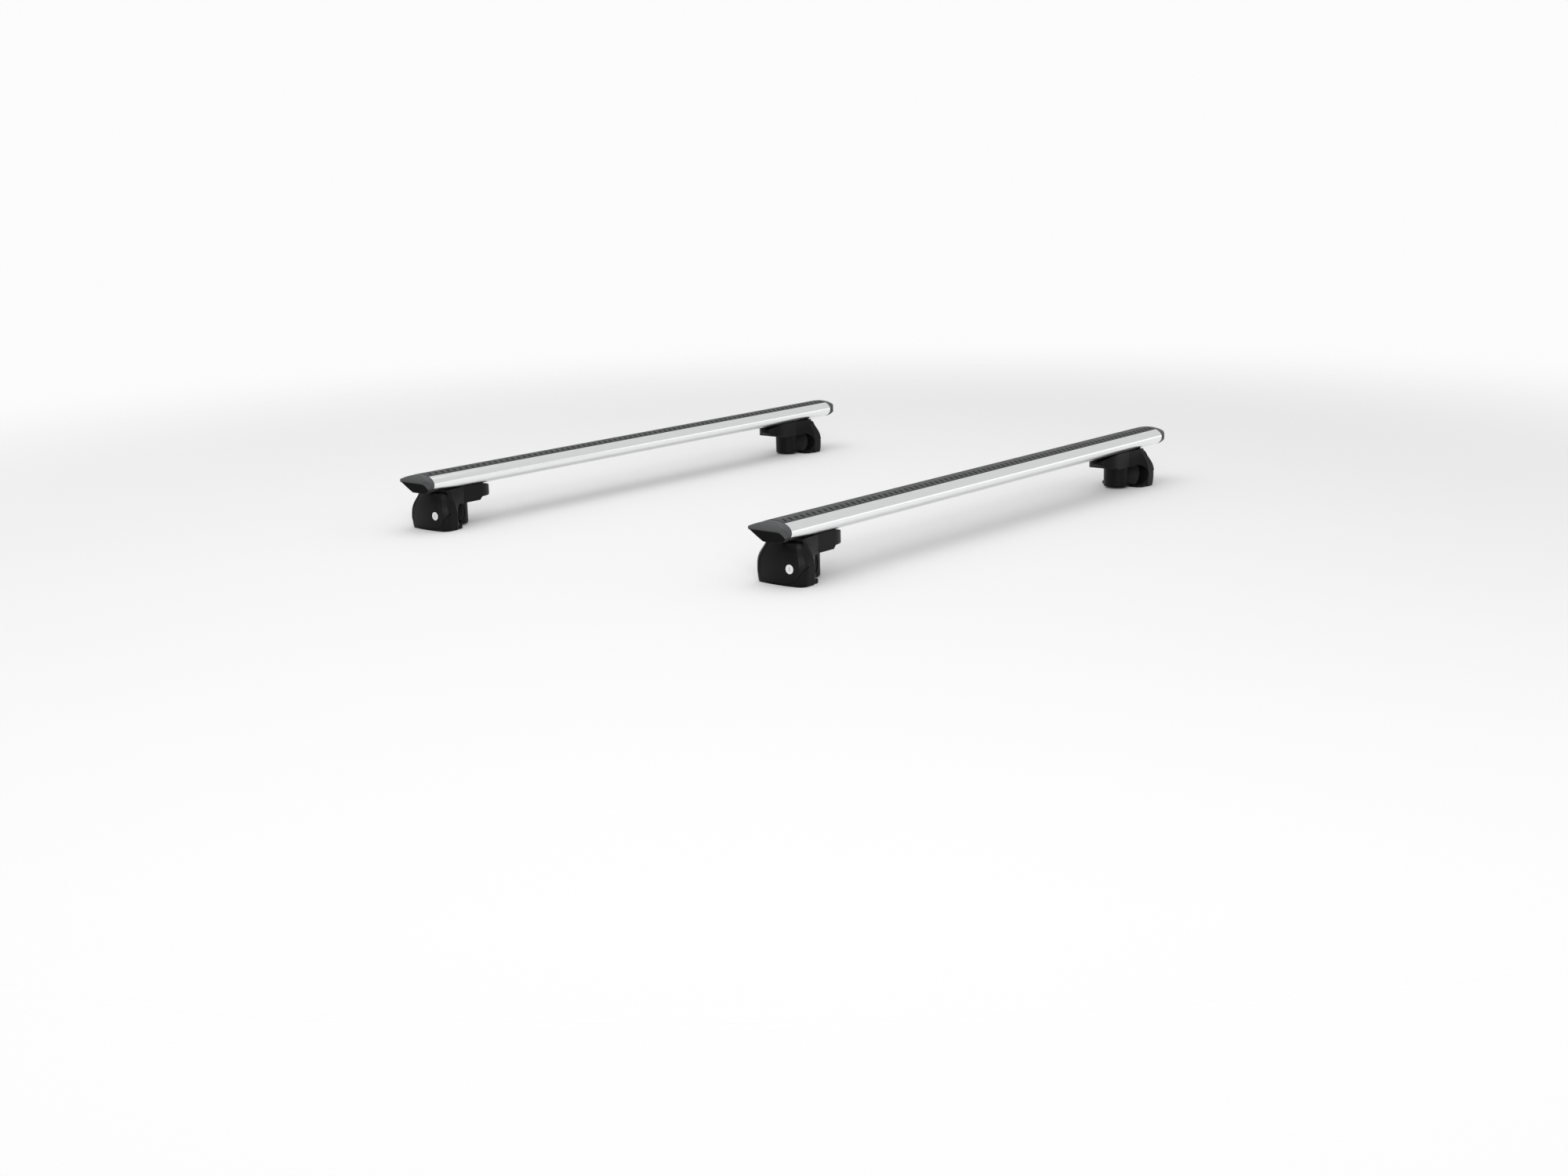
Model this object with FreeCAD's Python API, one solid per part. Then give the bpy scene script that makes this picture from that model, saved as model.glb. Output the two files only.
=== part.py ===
import FreeCAD, Part
import math
import os

# Pair of roof cross bars on four clamp feet, in millimetres.
# X runs along the bars, minus Y is the leading side, Z is up.
# The origin lies on the floor, midway between the bars and between their ends.

# Bars
bar_length = 1230.0
bar_spacing = 890.0
chord = 80.0
crown_height = 13.0
belly_depth = 23.5
nose_drop = 5.0
crown_setback = 34.0
land_width = 28.0
tip_thickness = 7.5
aft_fullness = 0.45
low_aft_fullness = 0.12
bar_wall = 2.2
web_wall = 2.2
aft_solid = 9.0
circle_share = 0.5523

# Slots in the bar
slot_lip = 2.5
top_slot_width = 11.0
top_cavity_width = 24.0
top_cavity_height = 6.0
low_slot_width = 10.4
low_cavity_width = 24.0
low_cavity_height = 8.0

# Rubber strips
strip_setback = 15.0
strip_width = 46.0
strip_depth = 2.0
strip_rise = 0.8
infill_head = 3.0
infill_gap = 2.0
strip_clearance = 0.2

# Slanted recesses in a row along the front of the top strip
vane_pitch = 15.5
vane_width = 5.0
vane_length = 12.0
vane_depth = 1.4
vane_setback = 3.5
vane_slant_deg = 16.0
vane_end = 8.0

# End caps
cap_reach = 20.0
cap_foot_reach = 9.0
cap_crease_drop = 1.0
cap_fullness = 0.78
cap_nose_round = 18.0
cap_tip_round = 6.0
cap_plug = 14.0
cap_clearance = 0.3

# Where the feet stand along the bars
feet_span = 1068.0
feet_shift = -18.0

# Rail seat
rail_diameter = 36.0
pad_thickness = 3.0
pad_length = 64.0
pad_start_deg = 70.0
pad_end_deg = 262.0
lip_thickness = 6.0
lip_inner_reach = -2.0
lip_half_width = 49.0
lip_corner = 9.0
lip_end_round = 2.5

# Foot heights above the seat
saddle_web = -3.0
channel_lip = 4.0
carriage_height = 12.5
roof_thickness = 14.0
saddle_rise = 2.5
saddle_clearance = 0.3

# Outer form of a foot: reach outward from the rail, half width and corner radius at each level
floor_tuck = 2.0
floor_half = 51.0
floor_corner = 14.0
skirt_level = 12.0
skirt_tuck = 0.5
skirt_half = 53.0
skirt_corner = 15.0
lock_height = 30.0
lock_reach = 57.0
lock_half = 54.0
lock_corner = 17.0
shoulder_rise = 2.0
shoulder_tuck = 2.5
shoulder_half = 50.5
shoulder_corner = 16.0
hinge_half = 41.0
hinge_corner = 13.0
top_reach = 42.0
top_half = 36.0
top_corner = 11.0
face_crown = 3.0
flank_strip = 9.0
taper_end = 18.0

# Arm
arm_half = 30.0
arm_reach = 102.0
arm_round_start = 64.0
arm_top_round = 48.0
arm_waist = 15.0
arm_chamfer = 10.0
arm_heel = 60.0
arm_end_rise = 6.0

# Cover and its hinge
cover_wall = 3.0
cover_gap = 3.0
cover_seam = 0.3
cover_top_round = 8.5
thumb_start = 30.0
cover_edge_radius = 37.0
cover_edge_flat = 14.0
cover_edge_height = 3.0
cover_edge_turn_deg = 60.0
cover_edge_gap = 0.8
leg_strip = 10.0
core_half = 20.0
core_depth = 5.5
barrel_radius = 3.0
knuckle_inner = 10.0
ear_radius = 7.0
ear_thickness = 4.0
ear_gap = 0.3
pin_diameter = 3.0
pin_clearance = 0.05

# Lock
lock_offset = 26.0
lock_diameter = 16.0
lock_clearance = 0.05
lock_face_drop = 1.6
lock_recess_margin = 1.7
lock_recess_depth = 0.8
lock_boss_wall = 2.0
lock_length = 9.0
key_width = 1.4
key_height = 8.0
key_depth = 3.0
cam_thickness = 2.0
cam_length = 14.0
cam_width = 8.0
cam_gap = 0.4
strike_thickness = 2.2
strike_overlap = 3.0
strike_web = 6.0
strike_height = 10.0

# Clamp jaw
jaw_half = 26.0
jaw_start = 8.0
jaw_side = 12.0
jaw_reach = 42.0
jaw_floor = 2.5
jaw_bottom_round = 4.0
jaw_travel = 12.0
jaw_clearance = 0.4
carriage_start = 20.0
carriage_half = 18.0
neck_half = 12.0
slide_clearance = 0.3
channel_start = 12.0
channel_spare = 3.0
jaw_pad_gap = 0.5
jaw_pad_half = 24.0
jaw_pad_low_deg = -55.0
jaw_pad_high_deg = 42.0
glue_gap = 0.05

# Clamp screw and nut
screw_diameter = 6.0
screw_head_diameter = 10.0
screw_head_height = 6.0
screw_bore_clearance = 0.3
hex_key = 5.0
hex_depth = 3.0
nut_width = 10.0
nut_thickness = 5.0
nut_clearance = 0.1

# Fixing to the bar
slider_length = 54.0
slider_thickness = 5.0
slider_clearance = 0.3
bolt_diameter = 6.0
bolt_head_diameter = 10.0
bolt_head_height = 6.0
bolt_bore_clearance = 0.3
bolt_first = 24.0
bolt_pitch = 28.0

# Heights and places that follow from the sizes above
rail_radius = rail_diameter / 2
seat_radius = rail_radius + pad_thickness
rail_z = lip_thickness + seat_radius
arch_top = rail_z + seat_radius
arm_bottom = arch_top + saddle_web
channel_floor = arm_bottom + channel_lip
channel_roof = channel_floor + carriage_height
bar_seat = channel_roof + roof_thickness
body_top = bar_seat + saddle_rise
tip_z = bar_seat + belly_depth
screw_z = channel_floor + carriage_height / 2
cover_edge = -(seat_radius + leg_strip)
hinge_u = cover_edge - cover_top_round
hinge_z = bar_seat - cover_gap - cover_top_round
hinge_reach = -(hinge_u - cover_top_round)
core_face = cover_edge - core_depth
lock_face = -lock_reach + lock_face_drop
lock_back = lock_face + lock_length
carriage_end = jaw_reach
channel_end = carriage_end + jaw_travel + channel_spare
far = 200.0
over = 1.0
touch = 1e-4


def vec(x, y, z):
    return FreeCAD.Vector(x, y, z)


def line(a, b):
    return Part.makeLine(a, b)


def bezier(*poles):
    curve = Part.BezierCurve()
    curve.setPoles(list(poles))
    return curve.toShape()


def arc(a, middle, b):
    return Part.Arc(a, middle, b).toShape()


def face_of(edges):
    return Part.Face(Part.Wire(edges))


def polygon(points):
    return Part.Face(Part.makePolygon(points + points[:1]))


def block(x0, x1, y0, y1, z0, z1):
    return Part.makeBox(x1 - x0, y1 - y0, z1 - z0, vec(x0, y0, z0))


def rod_x(radius, x0, x1, y, z):
    return Part.makeCylinder(radius, x1 - x0, vec(x0, y, z), vec(1, 0, 0))


def rod_y(radius, y0, y1, x, z):
    return Part.makeCylinder(radius, y1 - y0, vec(x, y0, z), vec(0, 1, 0))


def rod_z(radius, z0, z1, x, y):
    return Part.makeCylinder(radius, z1 - z0, vec(x, y, z0), vec(0, 0, 1))


def hexagon_x(width, x0, x1, y, z):
    radius = width / math.sqrt(3)
    corners = []
    for step in range(6):
        angle = math.radians(60 * step)
        corners.append(vec(x0, y + radius * math.cos(angle), z + radius * math.sin(angle)))
    return polygon(corners).extrude(vec(x1 - x0, 0, 0))


def ring_sector_y(inner, outer, y0, y1, x, z, start_deg, end_deg):
    """Part of a tube along Y, from one angle to another, counted from plus X towards plus Z."""
    def point(radius, degrees):
        angle = math.radians(degrees)
        return vec(x + radius * math.cos(angle), y0, z + radius * math.sin(angle))
    middle = (start_deg + end_deg) / 2
    edges = [
        arc(point(inner, start_deg), point(inner, middle), point(inner, end_deg)),
        line(point(inner, end_deg), point(outer, end_deg)),
        arc(point(outer, end_deg), point(outer, middle), point(outer, start_deg)),
        line(point(outer, start_deg), point(inner, start_deg)),
    ]
    return face_of(edges).extrude(vec(0, y1 - y0, 0))


def single(shape):
    """The one solid of a finished piece, with seams between coplanar faces removed."""
    clean = shape.removeSplitter()
    if len(clean.Solids) != 1:
        raise ValueError("a piece came out as %d solids" % len(clean.Solids))
    return clean.Solids[0]


# Bar section

def wing_face(front=0.0, top=0.0, bottom=0.0, aft=0.0):
    """Wing section in the YZ plane, its tip level at z = 0, drawn in by an inset on each side."""
    nose_y = -chord / 2 + front
    crown_y = -chord / 2 + crown_setback
    crown_z = crown_height - top
    belly_z = -belly_depth + bottom
    land_front = -land_width / 2
    land_back = land_width / 2
    tip_y = chord / 2 - aft
    half_tip = tip_thickness / 2
    upper_rise = crown_z + nose_drop
    lower_drop = -nose_drop - belly_z
    nose = vec(0, nose_y, -nose_drop)
    crown = vec(0, crown_y, crown_z)
    tip_high = vec(0, tip_y - half_tip, half_tip)
    tip_low = vec(0, tip_y - half_tip, -half_tip)
    land_a = vec(0, land_front, belly_z)
    land_b = vec(0, land_back, belly_z)
    aft_run = tip_y - crown_y
    low_run = tip_y - land_back
    edges = [
        bezier(nose, nose + vec(0, 0, circle_share * upper_rise),
               crown - vec(0, circle_share * (crown_y - nose_y), 0), crown),
        bezier(crown, crown + vec(0, aft_fullness * aft_run, 0), tip_high),
        arc(tip_high, vec(0, tip_y, 0), tip_low),
        bezier(tip_low, land_b + vec(0, low_aft_fullness * low_run, 0), land_b),
        line(land_b, land_a),
        bezier(land_a, land_a - vec(0, circle_share * (land_front - nose_y), 0),
               nose - vec(0, 0, circle_share * lower_drop), nose),
    ]
    return face_of(edges)


def slab_yz(y0, y1, z0, z1):
    return polygon([vec(0, y0, z0), vec(0, y1, z0), vec(0, y1, z1), vec(0, y0, z1)])


strip_front = -chord / 2 + strip_setback
strip_back = strip_front + strip_width
slot_y = (strip_front + strip_back) / 2
top_cavity_roof = crown_height - strip_depth - slot_lip
top_cavity_floor = top_cavity_roof - top_cavity_height
low_cavity_floor = -belly_depth + slot_lip
low_cavity_roof = low_cavity_floor + low_cavity_height
fore_wall = min(slot_y - top_cavity_width / 2, -low_cavity_width / 2) - web_wall
aft_wall = max(slot_y + top_cavity_width / 2, low_cavity_width / 2) + web_wall


def chamber_faces(clearance):
    """The fore and aft hollows of the bar, each smaller all round by a clearance."""
    inner = wing_face(bar_wall + clearance, bar_wall + strip_depth + clearance,
                      bar_wall + clearance, aft_solid + clearance)
    fore = inner.common(slab_yz(-chord, fore_wall - clearance, -far, far))
    aft = inner.common(slab_yz(aft_wall + clearance, chord, -far, far))
    return fore, aft


def bar_section():
    section = wing_face()
    seat = slab_yz(strip_front, strip_back, 0, far).cut(wing_face(0, strip_depth, 0, 0))
    section = section.cut(seat)
    section = section.cut(slab_yz(slot_y - top_slot_width / 2, slot_y + top_slot_width / 2,
                                  top_cavity_roof - over, far))
    section = section.cut(slab_yz(slot_y - top_cavity_width / 2, slot_y + top_cavity_width / 2,
                                  top_cavity_floor, top_cavity_roof))
    section = section.cut(slab_yz(-low_slot_width / 2, low_slot_width / 2, -far, low_cavity_floor + over))
    section = section.cut(slab_yz(-low_cavity_width / 2, low_cavity_width / 2,
                                  low_cavity_floor, low_cavity_roof))
    fore, aft = chamber_faces(0)
    section = section.cut(fore)
    section = section.cut(aft)
    middle = slab_yz(fore_wall + web_wall, aft_wall - web_wall,
                     low_cavity_roof + web_wall, top_cavity_floor - web_wall)
    return section.cut(middle)


def top_strip_section():
    grown = wing_face(0, -strip_rise, 0, 0)
    skin = grown.cut(wing_face(0, strip_depth, 0, 0))
    skin = skin.common(slab_yz(strip_front + strip_clearance, strip_back - strip_clearance, 0, far))
    tongue_half = top_slot_width / 2 - strip_clearance
    tongue = slab_yz(slot_y - tongue_half, slot_y + tongue_half,
                     top_cavity_roof - over, crown_height - strip_depth + strip_rise)
    tongue = tongue.common(wing_face(0, strip_depth - strip_rise, 0, 0))
    return [skin, tongue]


def lower_strip_section():
    neck = slab_yz(-low_slot_width / 2 + strip_clearance, low_slot_width / 2 - strip_clearance,
                   -belly_depth, low_cavity_floor)
    head_half = low_cavity_width / 2 - 2 * strip_clearance
    head = slab_yz(-head_half, head_half, low_cavity_floor, low_cavity_floor + infill_head)
    return [neck, head]


def drawn(faces, run):
    """One solid drawn along a run from the faces of a section that touch or overlap."""
    solids = [face.extrude(run) for face in faces]
    return single(solids[0].fuse(solids[1:]) if len(solids) > 1 else solids[0])


def strip_vanes():
    """The space of the recesses in a top strip, equally deep all over its curve."""
    front = strip_front + vane_setback
    back = front + vane_length
    half = vane_width / 2
    lean = vane_length * math.tan(math.radians(vane_slant_deg)) / 2
    count = int((bar_length - 2 * vane_end) / vane_pitch) + 1
    first = (bar_length - (count - 1) * vane_pitch) / 2
    prisms = []
    for step in range(count):
        x = first + step * vane_pitch
        outline = polygon([vec(x - half - lean, front, 0), vec(x + half - lean, front, 0),
                           vec(x + half + lean, back, 0), vec(x - half + lean, back, 0)])
        prisms.append(outline.extrude(vec(0, 0, far)))
    floor = wing_face(0, vane_depth - strip_rise, 0, 0).extrude(vec(bar_length, 0, 0))
    return Part.Compound(prisms).cut(floor)


def end_cap():
    """Cap at the minus X end of a bar: wing section cut to a sloping top, a slanted end and a round nose."""
    reach = -cap_reach
    body = wing_face().extrude(vec(reach, 0, 0))
    top = crown_height + over
    low = -belly_depth - over
    crease = vec(reach, 0, -cap_crease_drop)
    side = face_of([
        bezier(crease, vec(cap_fullness * reach, 0, top), vec(0, 0, top)),
        line(vec(0, 0, top), vec(0, 0, low)),
        line(vec(0, 0, low), vec(-cap_foot_reach, 0, low)),
        line(vec(-cap_foot_reach, 0, low), crease),
    ])
    side = side.extrude(vec(0, 2 * chord, 0))
    side.translate(vec(0, -chord, 0))
    nose = -chord / 2 - over
    tip = chord / 2 + over
    plan = face_of([
        bezier(vec(0, nose, 0), vec(reach, nose, 0), vec(reach, nose + cap_nose_round, 0)),
        line(vec(reach, nose + cap_nose_round, 0), vec(reach, tip - cap_tip_round, 0)),
        bezier(vec(reach, tip - cap_tip_round, 0), vec(reach, tip, 0), vec(reach + cap_tip_round, tip, 0)),
        line(vec(reach + cap_tip_round, tip, 0), vec(0, tip, 0)),
        line(vec(0, tip, 0), vec(0, nose, 0)),
    ])
    plan = plan.extrude(vec(0, 0, 2 * far))
    plan.translate(vec(0, 0, -far))
    cap = body.common(side).common(plan)
    for hollow in chamber_faces(cap_clearance):
        plug = hollow.extrude(vec(cap_plug + over, 0, 0))
        plug.translate(vec(-over, 0, 0))
        cap = cap.fuse(plug)
    return single(cap)


# Foot, built about its rail: u (local X) points inward along the bar

def foot_section(height, reach, half, corner, inset):
    """Outline of a foot seen from above at one height: crowned outer face, round corners, tapered back."""
    reach = reach - inset
    half = half - inset
    corner = corner - inset / 2
    back_half = min(arm_half, half)
    taper_start = cover_edge + flank_strip
    edge_u = -reach + face_crown
    diagonal = corner * (1 - math.sqrt(0.5))

    def at(u, y):
        return vec(u, y, height)
    edges = [
        arc(at(edge_u, -half + corner), at(-reach, 0), at(edge_u, half - corner)),
        arc(at(edge_u, half - corner), at(edge_u + diagonal, half - diagonal), at(edge_u + corner, half)),
        line(at(edge_u + corner, half), at(taper_start, half)),
        line(at(taper_start, half), at(taper_end, back_half)),
        line(at(taper_end, back_half), at(taper_end, -back_half)),
        line(at(taper_end, -back_half), at(taper_start, -half)),
        line(at(taper_start, -half), at(edge_u + corner, -half)),
        arc(at(edge_u + corner, -half), at(edge_u + diagonal, -half + diagonal), at(edge_u, -half + corner)),
    ]
    return Part.Wire(edges)


def foot_form(inset=0.0):
    """The flared outer form that the cover and the base share."""
    levels = [
        (0.0, lock_reach - floor_tuck, floor_half, floor_corner),
        (skirt_level, lock_reach - skirt_tuck, skirt_half, skirt_corner),
        (lock_height, lock_reach, lock_half, lock_corner),
        (arm_bottom + shoulder_rise, lock_reach - shoulder_tuck, shoulder_half, shoulder_corner),
        (hinge_z, hinge_reach, hinge_half, hinge_corner),
        (body_top, top_reach, top_half, top_corner),
    ]
    wires = [foot_section(z, reach, half, corner, inset) for z, reach, half, corner in levels]
    return Part.makeLoft(wires, True, False)


def thumb(radius, inner_u, open_back):
    """Side outline of the cover: up its inner edge, round over the hinge and away along a tangent outside."""
    low = -far
    out = math.cos(math.radians(thumb_start))
    rise = math.sin(math.radians(thumb_start))
    middle_out = math.cos(math.radians((thumb_start + 90) / 2))
    middle_rise = math.sin(math.radians((thumb_start + 90) / 2))
    start = vec(hinge_u - radius * out, -far, hinge_z + radius * rise)
    knee = start - vec(far * rise, 0, far * out)
    top = vec(hinge_u, -far, hinge_z + radius)
    edges = [line(vec(knee.x, -far, low), knee), line(knee, start)]
    edges.append(arc(start, vec(hinge_u - radius * middle_out, -far, hinge_z + radius * middle_rise), top))
    if open_back:
        above = vec(hinge_u, -far, far)
        back = vec(inner_u, -far, far)
        edges += [line(top, above), line(above, back)]
    else:
        back = vec(inner_u, -far, hinge_z)
        diagonal = radius * math.sqrt(0.5)
        edges.append(arc(top, vec(hinge_u + diagonal, -far, hinge_z + diagonal), back))
    edges += [line(back, vec(inner_u, -far, low)), line(vec(inner_u, -far, low), vec(knee.x, -far, low))]
    return face_of(edges).extrude(vec(0, 2 * far, 0))


def above_cover_edge(gap):
    """The space above the cover's lower edge, a wide open U seen from outside, lowered by a gap."""
    radius = cover_edge_radius + gap
    centre_z = cover_edge_height + cover_edge_radius
    turn = math.radians(cover_edge_turn_deg)

    def on_arc(side, angle):
        y = side * (cover_edge_flat + radius * math.sin(angle))
        return vec(-far, y, centre_z - radius * math.cos(angle))

    def beyond(side):
        return on_arc(side, turn) + vec(0, side * far, far * math.tan(turn))
    edges = [
        line(beyond(-1), on_arc(-1, turn)),
        arc(on_arc(-1, turn), on_arc(-1, turn / 2), on_arc(-1, 0)),
        line(on_arc(-1, 0), on_arc(1, 0)),
        arc(on_arc(1, 0), on_arc(1, turn / 2), on_arc(1, turn)),
        line(on_arc(1, turn), beyond(1)),
        line(beyond(1), beyond(-1)),
    ]
    return face_of(edges).extrude(vec(2 * far, 0, 0))


def saddle_cutter():
    """The bar above a foot, both ways round, so that one foot fits at either end."""
    wing = wing_face(-saddle_clearance, 0, 0, -saddle_clearance).extrude(vec(2 * far, 0, 0))
    wing.translate(vec(-far, 0, tip_z))
    return wing.fuse(wing.mirror(vec(0, 0, 0), vec(0, 1, 0)))


def d_plan(start, side, reach, half, z0, z1):
    """Upright block with two straight sides and a half-elliptic inner end."""
    bulge = reach - start - side
    a = vec(start, -half, z0)
    b = vec(start + side, -half, z0)
    c = vec(reach, 0, z0)
    d = vec(start + side, half, z0)
    e = vec(start, half, z0)
    edges = [
        line(a, b),
        bezier(b, b + vec(circle_share * bulge, 0, 0), c - vec(0, circle_share * half, 0), c),
        bezier(c, c + vec(0, circle_share * half, 0), d + vec(circle_share * bulge, 0, 0), d),
        line(d, e),
        line(e, a),
    ]
    return face_of(edges).extrude(vec(0, 0, z1 - z0))


def arm():
    """Arm under the bar, thinner past a sloping heel, with a round top and a slanted lower end."""
    plan = d_plan(cover_edge + leg_strip, arm_round_start - cover_edge - leg_strip, arm_reach, arm_half,
                  arm_bottom, body_top)
    start = arm_reach - arm_top_round
    waist = arm_bottom + arm_waist
    end_bottom = arm_bottom + arm_end_rise

    def at(u, z):
        return vec(u, -far, z)
    edges = [
        line(at(-far, body_top), at(start, body_top)),
        bezier(at(start, body_top), at(start + circle_share * arm_top_round, body_top),
               at(arm_reach, waist + circle_share * (body_top - waist)), at(arm_reach, waist)),
        line(at(arm_reach, waist), at(arm_reach - arm_chamfer, end_bottom)),
        line(at(arm_reach - arm_chamfer, end_bottom), at(arm_heel + arm_end_rise, end_bottom)),
        line(at(arm_heel + arm_end_rise, end_bottom), at(arm_heel, arm_bottom)),
        line(at(arm_heel, arm_bottom), at(-far, arm_bottom)),
        line(at(-far, arm_bottom), at(-far, body_top)),
    ]
    return plan.common(face_of(edges).extrude(vec(0, 2 * far, 0)))


def lip():
    """Plate that reaches under the rail, with round inner corners and a round end."""
    plate = block(core_face, lip_inner_reach, -lip_half_width, lip_half_width, 0, lip_thickness)
    upright = []
    for edge in plate.Edges:
        box = edge.BoundBox
        if box.XMin > lip_inner_reach - touch and box.ZLength > touch:
            upright.append(edge)
    plate = plate.makeFillet(lip_corner, upright)
    lower = []
    for edge in plate.Edges:
        box = edge.BoundBox
        if box.ZMax < touch and box.XMax > core_face + lip_corner and box.YLength > touch:
            lower.append(edge)
    return plate.makeFillet(lip_end_round, lower)


def bolt_places():
    return [bolt_first, bolt_first + bolt_pitch]


def foot_base(form, saddle):
    seam = cover_edge + cover_seam
    behind = form.common(block(seam, far, -far, far, -over, body_top))
    skirt = form.common(block(-far, seam, -far, far, -over, far)).cut(above_cover_edge(cover_edge_gap))
    core = block(core_face, seam + over, -core_half, core_half, over, hinge_z)
    swing = rod_y(cover_top_round + cover_seam, -far, far, hinge_u, hinge_z)
    swing = swing.common(block(-far, far, -far, far, hinge_z + over, far))
    base = behind.fuse([skirt, core, arm(), lip()]).cut(swing)
    for y0, y1 in ((-core_half, -knuckle_inner), (knuckle_inner, core_half)):
        bracket = block(hinge_u, seam + over, y0, y1, hinge_z - barrel_radius, hinge_z)
        base = base.fuse([rod_y(barrel_radius, y0, y1, hinge_u, hinge_z), bracket])
    base = base.cut(saddle)
    base = base.cut(rod_y(seat_radius, -far, far, 0, rail_z))
    base = base.cut(block(0, far, -far, far, -over, arm_bottom))
    channel = block(channel_start, channel_end, -carriage_half, carriage_half, channel_floor, channel_roof)
    neck = block(channel_start, channel_end, -neck_half, neck_half, arm_bottom - over, channel_floor)
    base = base.cut(channel.fuse(neck))
    screw_bore = screw_diameter / 2 + screw_bore_clearance
    base = base.cut(rod_x(screw_bore, core_face - over, channel_start + over, 0, screw_z))
    base = base.cut(rod_y(pin_diameter / 2 + pin_clearance, -far, far, hinge_u, hinge_z))
    for u in bolt_places():
        bore = bolt_diameter / 2 + bolt_bore_clearance
        counterbore = bolt_head_diameter / 2 + bolt_bore_clearance
        base = base.cut(rod_z(bore, channel_roof - over, bar_seat + over, u, 0))
        base = base.cut(rod_z(counterbore, channel_roof - over, channel_roof + bolt_head_height, u, 0))
    return single(base.fuse(strike()))


def strike():
    """Hook on the core that the turned lock cam catches behind."""
    low = lock_height - strike_height / 2
    high = lock_height + strike_height / 2
    tip = -lock_offset + cam_length - strike_overlap
    web_start = -lock_offset + cam_length + 2 * cam_gap
    outer = lock_back - cam_gap - strike_thickness
    plate = block(outer, lock_back - cam_gap, tip, web_start + strike_web, low, high)
    web = block(outer, core_face + over, web_start, web_start + strike_web, low, high)
    return plate.fuse(web)


def foot_cover(form, inner_form):
    cover = form.common(thumb(cover_top_round, cover_edge, False))
    cover = cover.cut(inner_form.common(thumb(cover_top_round - cover_wall, cover_edge + leg_strip, True)))
    cover = cover.common(above_cover_edge(0))
    boss_radius = lock_diameter / 2 + lock_boss_wall
    boss = rod_x(boss_radius, -lock_reach, lock_back - cover_seam, -lock_offset, lock_height)
    cover = cover.fuse(boss.common(form))
    for side in (-1, 1):
        near = core_half + ear_gap
        y0 = min(side * near, side * (near + ear_thickness))
        cover = cover.fuse(rod_y(ear_radius, y0, y0 + ear_thickness, hinge_u, hinge_z))
    cover = cover.cut(rod_y(pin_diameter / 2 + pin_clearance, -core_half - ear_gap - ear_thickness,
                            core_half + ear_gap + ear_thickness, hinge_u, hinge_z))
    cover = cover.cut(rod_x(lock_diameter / 2 + lock_clearance, -far, far, -lock_offset, lock_height))
    cover = cover.cut(rod_x(lock_diameter / 2 + lock_recess_margin, -far, lock_face + lock_recess_depth,
                            -lock_offset, lock_height))
    return single(cover)


def hinge_pin():
    half = core_half + ear_gap + ear_thickness
    return rod_y(pin_diameter / 2, -half, half, hinge_u, hinge_z)


def lock_cylinder():
    core = rod_x(lock_diameter / 2, lock_face, lock_back, -lock_offset, lock_height)
    key = block(lock_face - over, lock_face + key_depth,
                -lock_offset - key_width / 2, -lock_offset + key_width / 2,
                lock_height - key_height / 2, lock_height + key_height / 2)
    return single(core.cut(key))


def lock_cam():
    """Tongue on the back of the lock, hanging down while it is unlocked."""
    half = cam_width / 2

    def at(y, z):
        return vec(lock_back, y - lock_offset, z + lock_height)
    low = half - cam_length
    edges = [
        line(at(half, 0), at(half, low)),
        arc(at(half, low), at(0, low - half), at(-half, low)),
        line(at(-half, low), at(-half, 0)),
        arc(at(-half, 0), at(0, half), at(half, 0)),
    ]
    return face_of(edges).extrude(vec(cam_thickness, 0, 0))


def rail_pad():
    return ring_sector_y(rail_radius, seat_radius, -pad_length / 2, pad_length / 2, 0, rail_z,
                         pad_start_deg, pad_end_deg)


def clamp_jaw():
    """Jaw with a round back, hollowed to the rail, hung from a carriage in the arm."""
    top = arm_bottom - jaw_clearance
    body = d_plan(jaw_start, jaw_side, jaw_reach, jaw_half, jaw_floor, top)
    lower = [edge for edge in body.Edges if edge.BoundBox.ZMax < jaw_floor + touch]
    rim = [edge for edge in lower if edge.BoundBox.XMax > jaw_start + touch]
    body = body.makeFillet(jaw_bottom_round, rim)
    body = body.cut(rod_y(seat_radius + glue_gap, -far, far, 0, rail_z))
    neck = block(carriage_start, carriage_end, -neck_half + slide_clearance, neck_half - slide_clearance,
                 top - over, channel_floor + slide_clearance + over)
    head_half = carriage_half - slide_clearance
    head = block(carriage_start, carriage_end, -head_half, head_half,
                 channel_floor + slide_clearance, channel_roof - slide_clearance)
    body = body.fuse([neck, head])
    body = body.cut(rod_x(screw_diameter / 2 + screw_bore_clearance, 0, far, 0, screw_z))
    pocket = nut_width / 2 + nut_clearance
    nut_face = carriage_end - nut_thickness
    body = body.cut(block(nut_face, far, -pocket, pocket, screw_z - pocket, screw_z + pocket))
    return single(body)


def jaw_nut():
    half = nut_width / 2
    nut = block(carriage_end - nut_thickness, carriage_end, -half, half, screw_z - half, screw_z + half)
    return single(nut.cut(rod_x(screw_diameter / 2 + pin_clearance, 0, far, 0, screw_z)))


def jaw_pad():
    return ring_sector_y(rail_radius + jaw_pad_gap, seat_radius, -jaw_pad_half, jaw_pad_half, 0, rail_z,
                         jaw_pad_low_deg, jaw_pad_high_deg)


def clamp_screw():
    head_start = core_face - screw_head_height
    shank = rod_x(screw_diameter / 2, core_face - over, channel_end - over, 0, screw_z)
    head = rod_x(screw_head_diameter / 2, head_start, core_face, 0, screw_z)
    socket = hexagon_x(hex_key, head_start - over, head_start + hex_depth, 0, screw_z)
    return single(shank.fuse(head).cut(socket))


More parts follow.
